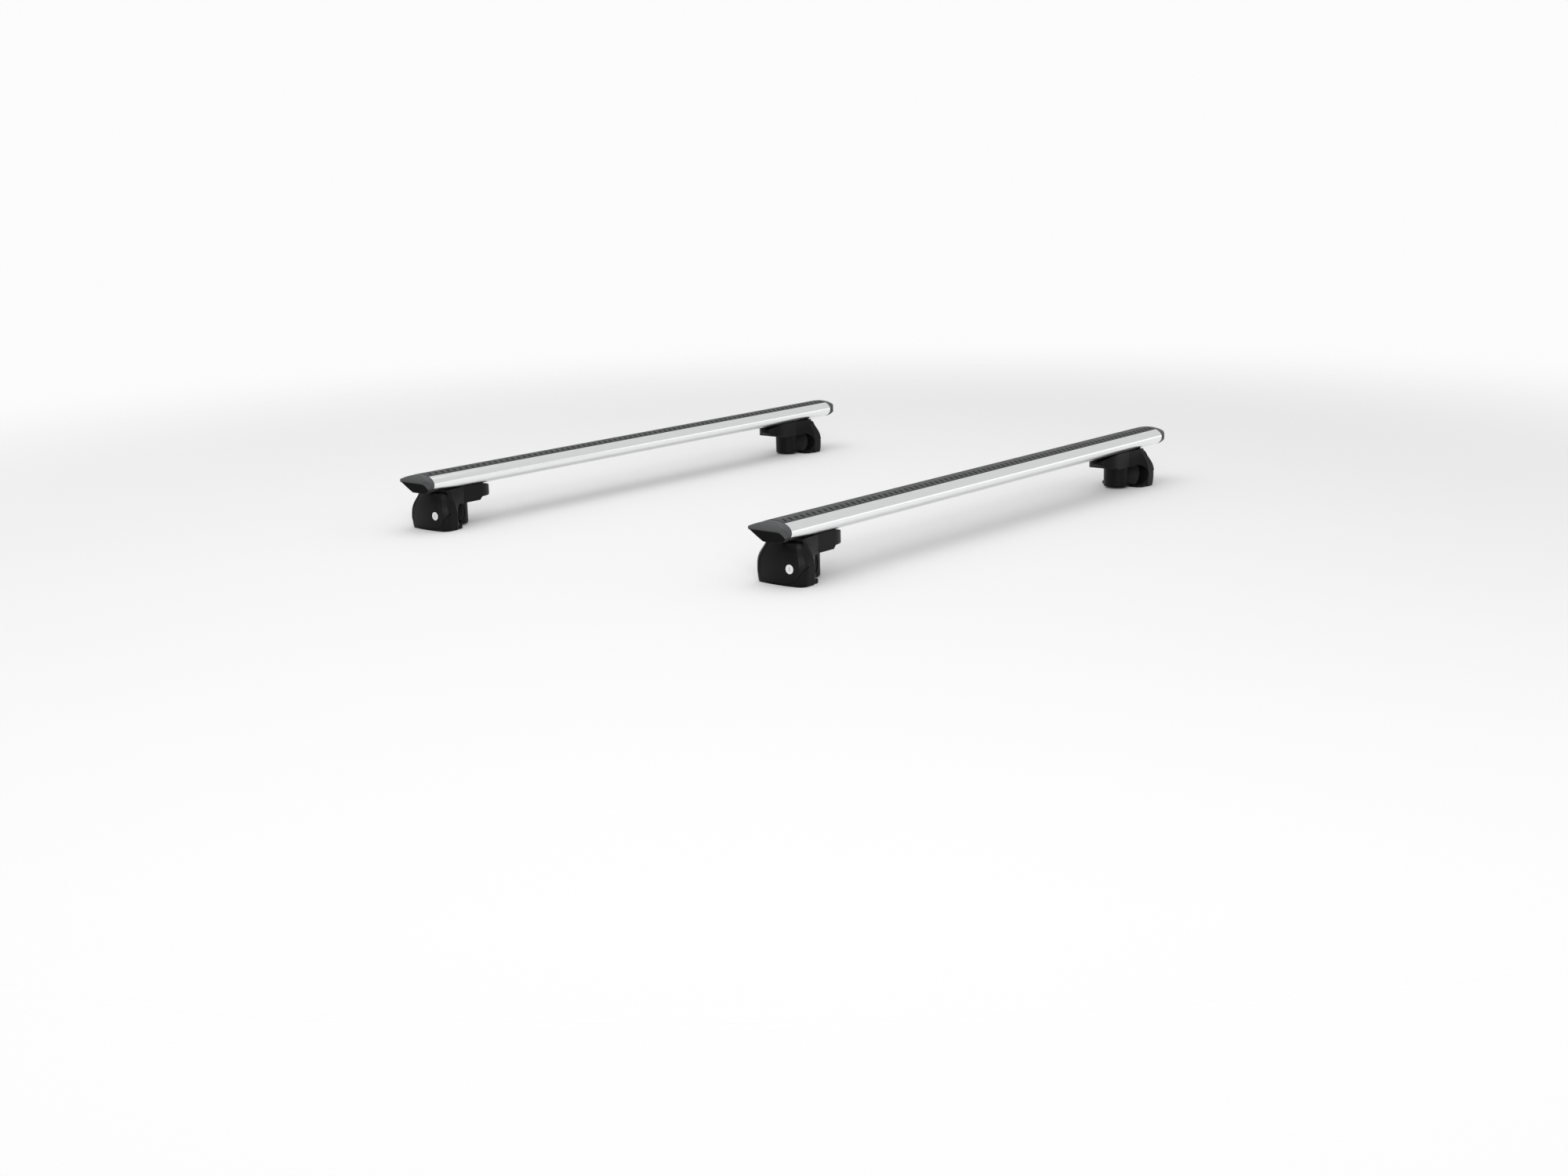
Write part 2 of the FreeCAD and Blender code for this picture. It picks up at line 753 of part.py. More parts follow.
def bar_slider():
    half = low_cavity_width / 2 - slider_clearance
    start = bolt_first + bolt_pitch / 2 - slider_length / 2
    floor = bar_seat + slot_lip
    plate = block(start, start + slider_length, -half, half, floor, floor + slider_thickness)
    for u in bolt_places():
        bore = bolt_diameter / 2 + pin_clearance
        plate = plate.cut(rod_z(bore, floor - over, floor + slider_thickness + over, u, 0))
    return single(plate)


def bar_bolts():
    bolts = []
    seat = channel_roof + bolt_head_height
    tip = bar_seat + slot_lip + slider_thickness
    for u in bolt_places():
        shank = rod_z(bolt_diameter / 2, seat - over, tip, u, 0)
        head = rod_z(bolt_head_diameter / 2, seat - bolt_head_height, seat, u, 0)
        bolts.append(single(shank.fuse(head)))
    return Part.Compound(bolts)


# Assembly

def placed(shape, x, y, z, turned):
    copy = shape.copy()
    if turned:
        copy.rotate(vec(0, 0, 0), vec(0, 0, 1), 180)
    copy.translate(vec(x, y, z))
    return copy


def bar_parts(name, y):
    start = -bar_length / 2
    run = vec(bar_length, 0, 0)
    left_end = end_cap().mirror(vec(0, 0, 0), vec(1, 0, 0))
    reach = arm_reach + infill_gap
    infill_start = feet_shift - feet_span / 2 + reach
    infill_run = vec(feet_span - 2 * reach, 0, 0)
    infill = drawn(lower_strip_section(), infill_run)
    top_strip = single(drawn(top_strip_section(), run).cut(strip_vanes()))
    return {
        name + "_bar": placed(drawn([bar_section()], run), start, y, tip_z, False),
        name + "_top_strip": placed(top_strip, start, y, tip_z, False),
        name + "_lower_strip": placed(infill, infill_start, y, tip_z, False),
        name + "_right_end_cap": placed(end_cap(), start, y, tip_z, False),
        name + "_left_end_cap": placed(left_end, -start, y, tip_z, False),
    }


def foot_parts():
    form = foot_form()
    return {
        "foot_base": foot_base(form, saddle_cutter()),
        "rail_pad": rail_pad(),
        "clamp_jaw": clamp_jaw(),
        "jaw_pad": jaw_pad(),
        "jaw_nut": jaw_nut(),
        "clamp_screw": clamp_screw(),
        "cover": foot_cover(form, foot_form(cover_wall)),
        "hinge_pin": hinge_pin(),
        "lock_cylinder": lock_cylinder(),
        "lock_cam": lock_cam(),
        "bar_slider": bar_slider(),
        "bar_bolts": bar_bolts(),
    }


def main():
    os.makedirs("parts", exist_ok=True)
    nodes = {}
    foot = foot_parts()
    for bar, y in (("front", -bar_spacing / 2), ("rear", bar_spacing / 2)):
        nodes.update(bar_parts(bar, y))
        for side, turned in (("right", False), ("left", True)):
            x = feet_shift + (feet_span / 2 if turned else -feet_span / 2)
            for piece, shape in foot.items():
                nodes["%s_%s_%s" % (bar, side, piece)] = placed(shape, x, y, 0, turned)
    for name, shape in nodes.items():
        shape.exportStep("parts/%s.step" % name)


main()
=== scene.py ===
import math

import bmesh
import bpy
import numpy as np
from mathutils import Matrix, Vector


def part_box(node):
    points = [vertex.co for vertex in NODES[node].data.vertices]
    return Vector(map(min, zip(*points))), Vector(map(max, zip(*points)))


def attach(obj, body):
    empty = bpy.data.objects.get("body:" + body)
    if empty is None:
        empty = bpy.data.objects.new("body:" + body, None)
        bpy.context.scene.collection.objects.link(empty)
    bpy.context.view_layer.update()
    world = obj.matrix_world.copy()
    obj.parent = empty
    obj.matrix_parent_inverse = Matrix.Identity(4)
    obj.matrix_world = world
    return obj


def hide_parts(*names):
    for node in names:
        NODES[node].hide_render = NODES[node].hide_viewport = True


bl_info = {
    "name": "Roof cross bars",
    "version": (1, 0, 0),
    "blender": (4, 5, 0),
    "location": "View3D > Sidebar > Cross bars",
    "description": "Dresses a pair of wing-section roof bars and their clamp feet",
    "category": "Object",
}

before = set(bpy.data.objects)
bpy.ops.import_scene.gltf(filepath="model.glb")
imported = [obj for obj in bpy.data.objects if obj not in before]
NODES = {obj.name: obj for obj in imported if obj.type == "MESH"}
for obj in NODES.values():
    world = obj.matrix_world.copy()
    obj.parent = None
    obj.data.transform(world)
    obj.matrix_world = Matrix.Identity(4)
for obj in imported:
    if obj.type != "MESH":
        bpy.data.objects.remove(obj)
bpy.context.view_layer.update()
ROOT = "bars_and_feet"
BARS = ("front", "rear")
FEET = [(bar, side) for bar in BARS for side in ("right", "left")]
CIRCLE = 0.5523
STRIP_SLANT = math.tan(math.radians(16.0))
STRIP_GAP = 0.0002
GROOVES = np.array([0.60, 0.69, 0.78, 0.87])
GROOVE_HALF = 0.018
GROOVE_DEPTH = 0.0005


def length(name, description, default):
    return bpy.props.FloatProperty(name=name, description=description, default=default, unit="LENGTH", precision=5)


def colour(name, description, default):
    return bpy.props.FloatVectorProperty(name=name, description=description, default=default, subtype="COLOR",
                                         size=3, min=0.0, max=1.0)


def ratio(name, description, default):
    return bpy.props.FloatProperty(name=name, description=description, default=default, min=0.0)


def angle_of(name, description, degrees):
    return bpy.props.FloatProperty(name=name, description=description, default=math.radians(degrees), subtype="ANGLE")


class WingBarSizes(bpy.types.PropertyGroup):
    """Sizes of the bars, their strips and their end caps."""
    chord: length("Chord", "Front to back of the bar", 0.080)
    crown_height: length("Crown height", "Top of the bar above its trailing edge", 0.013)
    belly_depth: length("Belly depth", "Underside of the bar below its trailing edge", 0.0235)
    nose_drop: length("Nose drop", "Foremost line of the bar below its trailing edge", 0.005)
    crown_setback: length("Crown setback", "Highest line behind the leading edge", 0.034)
    land_width: length("Land", "Flat width of the underside", 0.028)
    tip_thickness: length("Tip", "Thickness of the trailing edge", 0.0075)
    strip_setback: length("Strip setback", "Front of the strip behind the leading edge", 0.015)
    strip_width: length("Strip width", "Width of the top strip's groove", 0.046)
    strip_depth: length("Strip depth", "Depth of the top strip's groove", 0.002)
    slot_lip: length("Slot lip", "Metal over the slots' rooms", 0.0025)
    slot_room: length("Slot room", "Width of the slots' rooms", 0.024)
    top_mouth: length("Top mouth", "Width of the top slot's mouth", 0.011)
    top_room_height: length("Top room", "Height of the top slot's room", 0.006)
    low_mouth: length("Lower mouth", "Width of the lower slot's mouth", 0.0104)
    low_room_height: length("Lower room", "Height of the lower slot's room", 0.008)
    strip_rise: length("Strip rise", "Height of the strip above the bar", 0.0008)
    vane_pitch: length("Recess pitch", "Distance between the slanted recesses of the strip", 0.0155)
    vane_width: length("Recess width", "Width of a recess along the bar", 0.005)
    vane_length: length("Recess length", "Length of a recess across the strip", 0.012)
    vane_depth: length("Recess depth", "Depth of a recess", 0.0014)
    vane_setback: length("Recess setback", "Front of a recess behind the strip's front", 0.0035)
    vane_end: length("Recess end", "Least distance of the outer recesses from the bar's ends", 0.008)
    cap_reach: length("Cap reach", "How far an end cap stands beyond the bar", 0.020)
    cap_foot_reach: length("Cap foot", "Reach of the cap at the underside", 0.009)
    cap_round: length("Cap edge", "Radius of the cap's rim", 0.0016)


class FootSizes(bpy.types.PropertyGroup):
    """Sizes of the feet and their covers."""
    hinge_reach: length("Hinge offset", "Cover hinge outward of the rail axis", 0.0395)
    hinge_height: length("Hinge height", "Cover hinge above the sole", 0.064)
    thumb_radius: length("Thumb radius", "Round top of the cover about its hinge", 0.0085)
    shoulder_round: length("Shoulder round", "How far the cover's sides draw in over its top", 0.006)
    cover_edge: length("Cover edge", "Inner edge of the cover outward of the rail axis", 0.031)
    cover_wall: length("Cover wall", "Thickness of the cover", 0.0024)
    lower_edge_height: length("Lower edge", "Lowest point of the cover above the sole", 0.003)
    lower_edge_radius: length("Lower edge radius", "Radius of the cover's lower corners", 0.037)
    lower_edge_flat: length("Lower edge flat", "Half of the straight lower edge", 0.014)
    lock_offset: length("Lock offset", "Lock sideways of the foot's middle", 0.026)
    lock_height: length("Lock height", "Lock above the sole", 0.030)
    lock_recess: length("Lock recess", "Radius of the recess round the lock", 0.0097)
    lock_floor: length("Recess floor", "Recess floor outward of the rail axis", 0.0546)


class BarFinishes(bpy.types.PropertyGroup):
    """Colours of the pieces."""
    aluminium: colour("Aluminium", "Satin anodised bar", (0.92, 0.925, 0.93))
    strip: colour("Strip", "Raised face of the top strip", (0.048, 0.049, 0.051))
    # Painted shade: the dark colour laid in the strip's recesses, grooves, front wall and underside.
    strip_slot_painted_shade: colour("Strip recesses", "Bottom of the strip's recesses", (0.008, 0.008, 0.009))
    infill: colour("Infill", "Lower strip", (0.030, 0.030, 0.032))
    cap: colour("End cap", "Moulded end caps", (0.084, 0.085, 0.087))
    # Painted shade: the dark colour of the caps' slanted ends.
    cap_end_painted_shade: colour("Cap end", "Matt slanted end of a cap", (0.003, 0.003, 0.0033))
    base: colour("Foot base", "Moulded foot", (0.0035, 0.0035, 0.0038))
    cover: colour("Cover", "Foot cover", (0.0030, 0.0030, 0.0033))
    jaw: colour("Jaw", "Clamp jaw", (0.0035, 0.0035, 0.0038))
    pad: colour("Pads", "Rubber rail pads", (0.022, 0.022, 0.023))
    steel: colour("Steel", "Plated screws, nuts and pins", (0.56, 0.56, 0.57))
    lock: colour("Lock", "Lock cylinder", (0.95, 0.95, 0.95))


class StageSettings(bpy.types.PropertyGroup):
    """Camera, floor and light."""
    camera_place: bpy.props.FloatVectorProperty(name="Camera", description="Place of the camera",
                                                default=(-3.09985, -2.54185, 0.73249), size=3, subtype="TRANSLATION")
    azimuth: angle_of("Azimuth", "Side the camera looks from", -50.11)
    elevation: angle_of("Elevation", "Height the camera looks from", 12.76)
    roll: angle_of("Roll", "Turn of the picture", -1.49)
    focal_share: ratio("Focal share", "Focal length over picture width", 1.273)
    floor: colour("Floor", "Pale floor under the bars", (0.82, 0.82, 0.82))
    floor_radius: length("Floor radius", "Where the floor has faded into the backdrop", 3.4)
    floor_bounce: ratio("Floor bounce", "Share of the floor's light that bounces", 0.20)
    backdrop: colour("Backdrop", "White seen behind the floor", (0.97, 0.97, 0.97))
    backdrop_top: ratio("Backdrop top", "Sine of the height at which the backdrop ends", 0.10)
    ceiling_from: ratio("Ceiling from", "Sine of the height from which the ceiling is plain", 0.24)
    ceiling_share: ratio("Ceiling share", "Brightness of the ceiling against the backdrop", 0.70)


# Meshes

def bezier(poles, count):
    """Points of a Bezier curve: its poles weighted by Bernstein polynomials of an even parameter."""
    poles = np.asarray(poles, float)
    order = len(poles) - 1
    t = np.linspace(0.0, 1.0, count)[:, None]
    weights = [math.comb(order, k) * t ** k * (1 - t) ** (order - k) for k in range(order + 1)]
    return sum(weight * pole for weight, pole in zip(weights, poles))


def smooth_step(value):
    """Rises from 0 to 1 as 3t^2 - 2t^3 of the value held between 0 and 1."""
    t = np.clip(value, 0.0, 1.0)
    return t * t * (3.0 - 2.0 * t)


def smooth_min(a, b, width):
    """The smaller of two values, rounded over where they are within a width of each other."""
    share = np.clip(0.5 + 0.5 * (b - a) / width, 0.0, 1.0)
    return b * (1 - share) + a * share - width * share * (1 - share)


def spline_through(knots, values, at):
    """Natural cubic spline through values at knots, read at new places: second differences from one linear solve."""
    knots = np.asarray(knots, float)
    values = np.asarray(values, float)
    step = np.diff(knots)
    count = len(knots)
    system = np.eye(count)
    right = np.zeros(count)
    inner = np.arange(1, count - 1)
    system[inner, inner - 1] = step[:-1]
    system[inner, inner] = 2 * (step[:-1] + step[1:])
    system[inner, inner + 1] = step[1:]
    slopes = np.diff(values) / step
    right[1:-1] = 6 * np.diff(slopes)
    bend = np.linalg.solve(system, right)
    cell = np.clip(np.searchsorted(knots, at) - 1, 0, count - 2)
    left = at - knots[cell]
    rest = knots[cell + 1] - at
    h = step[cell]
    return (bend[cell] * rest ** 3 + bend[cell + 1] * left ** 3) / (6 * h) \
        + (values[cell] / h - bend[cell] * h / 6) * rest + (values[cell + 1] / h - bend[cell + 1] * h / 6) * left


def grid_faces(rows, columns, closed):
    """Quads between neighbouring points of a grid; the columns may close into rings."""
    index = np.arange(rows * columns).reshape(rows, columns)
    after = np.roll(index, -1, axis=1)
    if not closed:
        index, after = index[:, :-1], after[:, :-1]
    return np.stack([index[:-1], after[:-1], after[1:], index[1:]], axis=-1).reshape(-1, 4).tolist()


def new_piece(name, points, faces, material, sharp_deg, outwards=True):
    """A mesh object at the origin, merged, with smooth faces that break at sharp corners."""
    mesh = bpy.data.meshes.new(name)
    mesh.from_pydata(np.asarray(points, float).tolist(), [], faces)
    shape = bmesh.new()
    shape.from_mesh(mesh)
    bmesh.ops.remove_doubles(shape, verts=shape.verts, dist=1e-6)
    if outwards:
        bmesh.ops.recalc_face_normals(shape, faces=shape.faces)
    shape.to_mesh(mesh)
    shape.free()
    mesh.shade_smooth()
    mesh.set_sharp_from_angle(angle=math.radians(sharp_deg))
    mesh.materials.append(material)
    piece = bpy.data.objects.new(name, mesh)
    bpy.context.scene.collection.objects.link(piece)
    return piece


def carry(piece, body, node):
    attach(piece, body)
    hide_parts(node)


def dress(names, material):
    """Gives solids that keep their shape their finish."""
    for name in names:
        mesh = NODES[name].data
        mesh.materials.clear()
        mesh.materials.append(material)


# Finishes

def node_group(name, inputs, outputs):
    group = bpy.data.node_groups.new(name, "ShaderNodeTree")
    for label, kind, default in inputs:
        socket = group.interface.new_socket(label, in_out="INPUT", socket_type=kind)
        socket.default_value = default
    for label, kind in outputs:
        group.interface.new_socket(label, in_out="OUTPUT", socket_type=kind)
    return group, group.nodes.new("NodeGroupInput"), group.nodes.new("NodeGroupOutput")


def uneven_sheen(group, noise, inside, outside):
    """Roughness of a finish: its sheen, and its spread times how far a noise stands from a half."""
    nodes, links = group.nodes, group.links
    shift = nodes.new("ShaderNodeMath")
    shift.operation = "SUBTRACT"
    shift.inputs[1].default_value = 0.5
    links.new(noise.outputs["Fac"], shift.inputs[0])
    scaled = nodes.new("ShaderNodeMath")
    scaled.operation = "MULTIPLY_ADD"
    links.new(shift.outputs[0], scaled.inputs[0])
    links.new(inside.outputs["Spread"], scaled.inputs[1])
    links.new(inside.outputs["Sheen"], scaled.inputs[2])
    links.new(scaled.outputs[0], outside.inputs["Roughness"])


def moulded_grain():
    """Fine spark-eroded texture: a fine noise for height and a much wider one for uneven sheen."""
    name = "Moulded grain"
    if name in bpy.data.node_groups:
        return bpy.data.node_groups[name]
    group, inside, outside = node_group(
        name, [("Scale", "NodeSocketFloat", 900.0), ("Sheen", "NodeSocketFloat", 0.4),
               ("Spread", "NodeSocketFloat", 0.08)],
        [("Height", "NodeSocketFloat"), ("Roughness", "NodeSocketFloat")])
    nodes, links = group.nodes, group.links
    place = nodes.new("ShaderNodeTexCoord")
    fine = nodes.new("ShaderNodeTexNoise")
    fine.inputs["Detail"].default_value = 2.0
    wide = nodes.new("ShaderNodeTexNoise")
    wide.inputs["Scale"].default_value = 24.0
    wide.inputs["Detail"].default_value = 4.0
    links.new(place.outputs["Object"], fine.inputs["Vector"])
    links.new(place.outputs["Object"], wide.inputs["Vector"])
    links.new(inside.outputs["Scale"], fine.inputs["Scale"])
    links.new(fine.outputs["Fac"], outside.inputs["Height"])
    uneven_sheen(group, wide, inside, outside)
    return group


def drawn_lines():
    """Lines that a drawn or turned metal shows: a noise stretched along one axis, for height and for sheen."""
    name = "Drawn lines"
    if name in bpy.data.node_groups:
        return bpy.data.node_groups[name]
    group, inside, outside = node_group(
        name, [("Stretch", "NodeSocketVector", (2.0, 900.0, 900.0)), ("Sheen", "NodeSocketFloat", 0.3),
               ("Spread", "NodeSocketFloat", 0.12)],
        [("Height", "NodeSocketFloat"), ("Roughness", "NodeSocketFloat")])
    nodes, links = group.nodes, group.links
    place = nodes.new("ShaderNodeTexCoord")
    stretch = nodes.new("ShaderNodeVectorMath")
    stretch.operation = "MULTIPLY"
    links.new(place.outputs["Object"], stretch.inputs[0])
    links.new(inside.outputs["Stretch"], stretch.inputs[1])
    noise = nodes.new("ShaderNodeTexNoise")
    noise.inputs["Scale"].default_value = 1.0
    noise.inputs["Detail"].default_value = 3.0
    links.new(stretch.outputs["Vector"], noise.inputs["Vector"])
    links.new(noise.outputs["Fac"], outside.inputs["Height"])
    uneven_sheen(group, noise, inside, outside)
    return group


def finish(name, tone, group, values, bump, metallic=0.0, specular=0.5, mottle=0.06):
    """A Principled material whose sheen and fine relief come from a node group; its colour varies a little."""
    if name in bpy.data.materials:
        return bpy.data.materials[name]
    material = bpy.data.materials.new(name)
    material.use_nodes = True
    nodes, links = material.node_tree.nodes, material.node_tree.links
    shader = nodes["Principled BSDF"]
    shader.inputs["Metallic"].default_value = metallic
    shader.inputs["Specular IOR Level"].default_value = specular
    effect = nodes.new("ShaderNodeGroup")
    effect.node_tree = group
    for label, value in values.items():
        effect.inputs[label].default_value = value
    links.new(effect.outputs["Roughness"], shader.inputs["Roughness"])
    relief = nodes.new("ShaderNodeBump")
    relief.inputs["Strength"].default_value = bump
    relief.inputs["Distance"].default_value = 0.0002
    links.new(effect.outputs["Height"], relief.inputs["Height"])
    links.new(relief.outputs["Normal"], shader.inputs["Normal"])
    place = nodes.new("ShaderNodeTexCoord")
    patch = nodes.new("ShaderNodeTexNoise")
    patch.inputs["Scale"].default_value = 60.0
    patch.inputs["Detail"].default_value = 5.0
    links.new(place.outputs["Object"], patch.inputs["Vector"])
    ramp = nodes.new("ShaderNodeValToRGB")
    tone = np.array(tone)
    ramp.color_ramp.elements[0].position = 0.3
    ramp.color_ramp.elements[1].position = 0.7
    ramp.color_ramp.elements[0].color = (*(tone * (1 - mottle)), 1.0)
    ramp.color_ramp.elements[1].color = (*np.minimum(tone * (1 + mottle), 1.0), 1.0)
    links.new(patch.outputs["Fac"], ramp.inputs["Fac"])
    links.new(ramp.outputs["Color"], shader.inputs["Base Color"])
    return material


def mix_colour(material, mask, tone):
    """Lays a second colour over a finish where a mask is set."""
    nodes, links = material.node_tree.nodes, material.node_tree.links
    shader = nodes["Principled BSDF"]
    below = shader.inputs["Base Color"].links[0].from_socket
    mix = nodes.new("ShaderNodeMix")
    mix.data_type = "RGBA"
    links.new(mask, mix.inputs["Factor"])
    links.new(below, mix.inputs[6])
    mix.inputs[7].default_value = (*tone, 1.0)
    links.new(mix.outputs[2], shader.inputs["Base Color"])


def finishes(context):
    return context.scene.cross_bar_finishes


def aluminium(context):
    return finish("Anodised aluminium", finishes(context).aluminium, drawn_lines(),
                  {"Stretch": (1.5, 700.0, 700.0), "Sheen": 0.22, "Spread": 0.06}, 0.06, metallic=1.0, mottle=0.008)


def steel(context):
    return finish("Plated steel", finishes(context).steel, drawn_lines(),
                  {"Stretch": (260.0, 1400.0, 1400.0), "Sheen": 0.34, "Spread": 0.14}, 0.10, metallic=1.0)


def lock_metal(context):
    return finish("Lock plug", finishes(context).lock, drawn_lines(),
                  {"Stretch": (300.0, 300.0, 1500.0), "Sheen": 0.42, "Spread": 0.10}, 0.05, metallic=0.1, mottle=0.02)


def cap_plastic(context):
    """Satin plastic of the end caps; the slanted end is made matt and darkened with painted shade by the piece's own
    attribute.
    """
    name = "End cap plastic"
    if name in bpy.data.materials:
        return bpy.data.materials[name]
    tones = finishes(context)
    material = finish(name, tones.cap, moulded_grain(), {"Scale": 1400.0, "Sheen": 0.40, "Spread": 0.10}, 0.18,
                      specular=0.12)
    nodes, links = material.node_tree.nodes, material.node_tree.links
    rough = nodes["Principled BSDF"].inputs["Roughness"]
    matt = nodes.new("ShaderNodeAttribute")
    matt.attribute_name = "matt_end_painted_shade"
    rougher = nodes.new("ShaderNodeMath")
    rougher.operation = "MULTIPLY_ADD"
    rougher.inputs[1].default_value = 0.45
    links.new(matt.outputs["Fac"], rougher.inputs[0])
    links.new(rough.links[0].from_socket, rougher.inputs[2])
    links.new(rougher.outputs[0], rough)
    # Painted shade: the slanted end takes the dark colour as well as the higher roughness.
    mix_colour(material, matt.outputs["Fac"], tones.cap_end_painted_shade)
    return material


def base_plastic(context):
    return finish("Foot plastic", finishes(context).base, moulded_grain(),
                  {"Scale": 1400.0, "Sheen": 0.40, "Spread": 0.10}, 0.20, specular=0.14)


def cover_plastic(context):
    return finish("Cover plastic", finishes(context).cover, moulded_grain(),
                  {"Scale": 1600.0, "Sheen": 0.42, "Spread": 0.08}, 0.12, specular=0.14)


def jaw_plastic(context):
    return finish("Jaw plastic", finishes(context).jaw, moulded_grain(),
                  {"Scale": 1300.0, "Sheen": 0.38, "Spread": 0.10}, 0.18, specular=0.14)


def pad_rubber(context):
    return finish("Pad rubber", finishes(context).pad, moulded_grain(),
                  {"Scale": 800.0, "Sheen": 0.72, "Spread": 0.16}, 0.35, specular=0.3)


def infill_rubber(context):
    return finish("Infill rubber", finishes(context).infill, moulded_grain(),
                  {"Scale": 800.0, "Sheen": 0.66, "Spread": 0.16}, 0.30, specular=0.3)


def strip_rubber(context):
    """Rubber of the top strip, with painted shade: darker down in its slots, in its grooves, on its front wall and on
    its underside, by the piece's own attribute.
    """
    name = "Strip rubber"
    if name in bpy.data.materials:
        return bpy.data.materials[name]
    tones = finishes(context)
    material = finish(name, tones.strip, moulded_grain(), {"Scale": 900.0, "Sheen": 0.58, "Spread": 0.14}, 0.30,
                      specular=0.35)
    # Painted shade laid over the rubber where the piece's attribute is set.
    depth = material.node_tree.nodes.new("ShaderNodeAttribute")
    depth.attribute_name = "slot_painted_shade"
    mix_colour(material, depth.outputs["Fac"], tones.strip_slot_painted_shade)
    return material


# Wing section

def upper_curve(size, lowered):
    """Top of the section from nose to tip: a quarter-ellipse-like cubic to the crown, then one quadratic."""
    nose = np.array([-size.chord / 2, -size.nose_drop])
    crown = np.array([-size.chord / 2 + size.crown_setback, size.crown_height - lowered])
    half_tip = size.tip_thickness / 2
    tip = np.array([size.chord / 2 - half_tip, half_tip])
    run = size.chord / 2 - crown[0]
    fore = bezier([nose, nose + (0, CIRCLE * (crown[1] - nose[1])),
                   crown - (CIRCLE * (crown[0] - nose[0]), 0), crown], 40)
    aft = bezier([crown, crown + (0.45 * run, 0), tip], 40)
    return np.concatenate([fore, aft[1:]])


def tip_curve(size):
    """Half circle round the trailing edge."""
    half = size.tip_thickness / 2
    angle = np.linspace(math.pi / 2, -math.pi / 2, 17)
    return np.stack([size.chord / 2 - half + half * np.cos(angle), half * np.sin(angle)], axis=1)


def lower_curves(size):
    """Underside from tip to nose: nearly straight to the flat land, then a cubic round to the nose."""
    half = size.tip_thickness / 2
    belly = -size.belly_depth
    low = np.array([size.chord / 2 - half, -half])
    land_b = np.array([size.land_width / 2, belly])
    land_a = np.array([-size.land_width / 2, belly])
    nose = np.array([-size.chord / 2, -size.nose_drop])
    run = size.chord / 2 - land_b[0]
    aft = bezier([low, land_b + (0.12 * run, 0), land_b], 24)
    fore = bezier([land_a, land_a - (CIRCLE * (land_a[0] - nose[0]), 0),
                   nose - (0, CIRCLE * (nose[1] - belly)), nose], 40)
    return aft, fore


def wing_outline(size):
    """The closed outline, from the nose over the top and back underneath."""
    aft, fore = lower_curves(size)
    return np.concatenate([upper_curve(size, 0.0), tip_curve(size)[1:-1], aft, fore[:-1]])


def bar_outline(size):
    """The outline with the strip's groove, the T-slot under it and the fixing slot in the underside."""
    top = upper_curve(size, 0.0)
    seat = upper_curve(size, size.strip_depth)
    front = -size.chord / 2 + size.strip_setback
    back = front + size.strip_width
    middle = (front + back) / 2
    aft, fore = lower_curves(size)

    def on(curve, y):
        return np.array([y, np.interp(y, curve[:, 0], curve[:, 1])])

    def between(curve, a, b):
        inside = curve[(curve[:, 0] > a) & (curve[:, 0] < b)]
        return np.concatenate([[on(curve, a)], inside, [on(curve, b)]])

    room = size.slot_room / 2
    mouth = size.top_mouth / 2
    roof = size.crown_height - size.strip_depth - size.slot_lip
    floor = roof - size.top_room_height
    top_slot = np.array([[-mouth, roof], [-room, roof], [-room, floor], [room, floor], [room, roof], [mouth, roof]])
    low_mouth = size.low_mouth / 2
    belly = -size.belly_depth
    lip = belly + size.slot_lip
    ceiling = lip + size.low_room_height
    low_slot = np.array([[low_mouth, belly], [low_mouth, lip], [room, lip], [room, ceiling],
                         [-room, ceiling], [-room, lip], [-low_mouth, lip], [-low_mouth, belly]])
    return np.concatenate([
        top[top[:, 0] < front], [on(top, front)],
        between(seat, front, middle - mouth), top_slot + (middle, 0.0), between(seat, middle + mouth, back),
        between(top, back, size.chord / 2 - size.tip_thickness / 2)[:-1],
        tip_curve(size), aft[1:], low_slot, fore[:-1]])


def bar_place(bar):
    low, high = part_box(bar + "_bar")
    return low.x, high.x, (low.y + high.y) / 2


def tip_level(size):
    low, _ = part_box("front_bar")
    return low.z + size.belly_depth


class CROSSBARS_OT_wing_bars(bpy.types.Operator):
    """Draw each bar: its outline with groove and slots carried along the bar"""
    bl_idname = "crossbars.wing_bars"
    bl_label = "Wing bars"

    def execute(self, context):
        size = context.scene.cross_bar_sizes
        outline = bar_outline(size)
        count = len(outline)
        for bar in BARS:
            start, end, middle = bar_place(bar)
            stations = np.array([start, end])
            points = np.empty((2, count, 3))
            points[:, :, 0] = stations[:, None]
            points[:, :, 1] = middle + outline[None, :, 0]
            points[:, :, 2] = tip_level(size) + outline[None, :, 1]
            faces = grid_faces(2, count, True) + [list(range(count)), list(range(count, 2 * count))]
            piece = new_piece(bar + "_wing_bar", points.reshape(-1, 3), faces, aluminium(context), 28)
            carry(piece, ROOT, bar + "_bar")
        return {"FINISHED"}


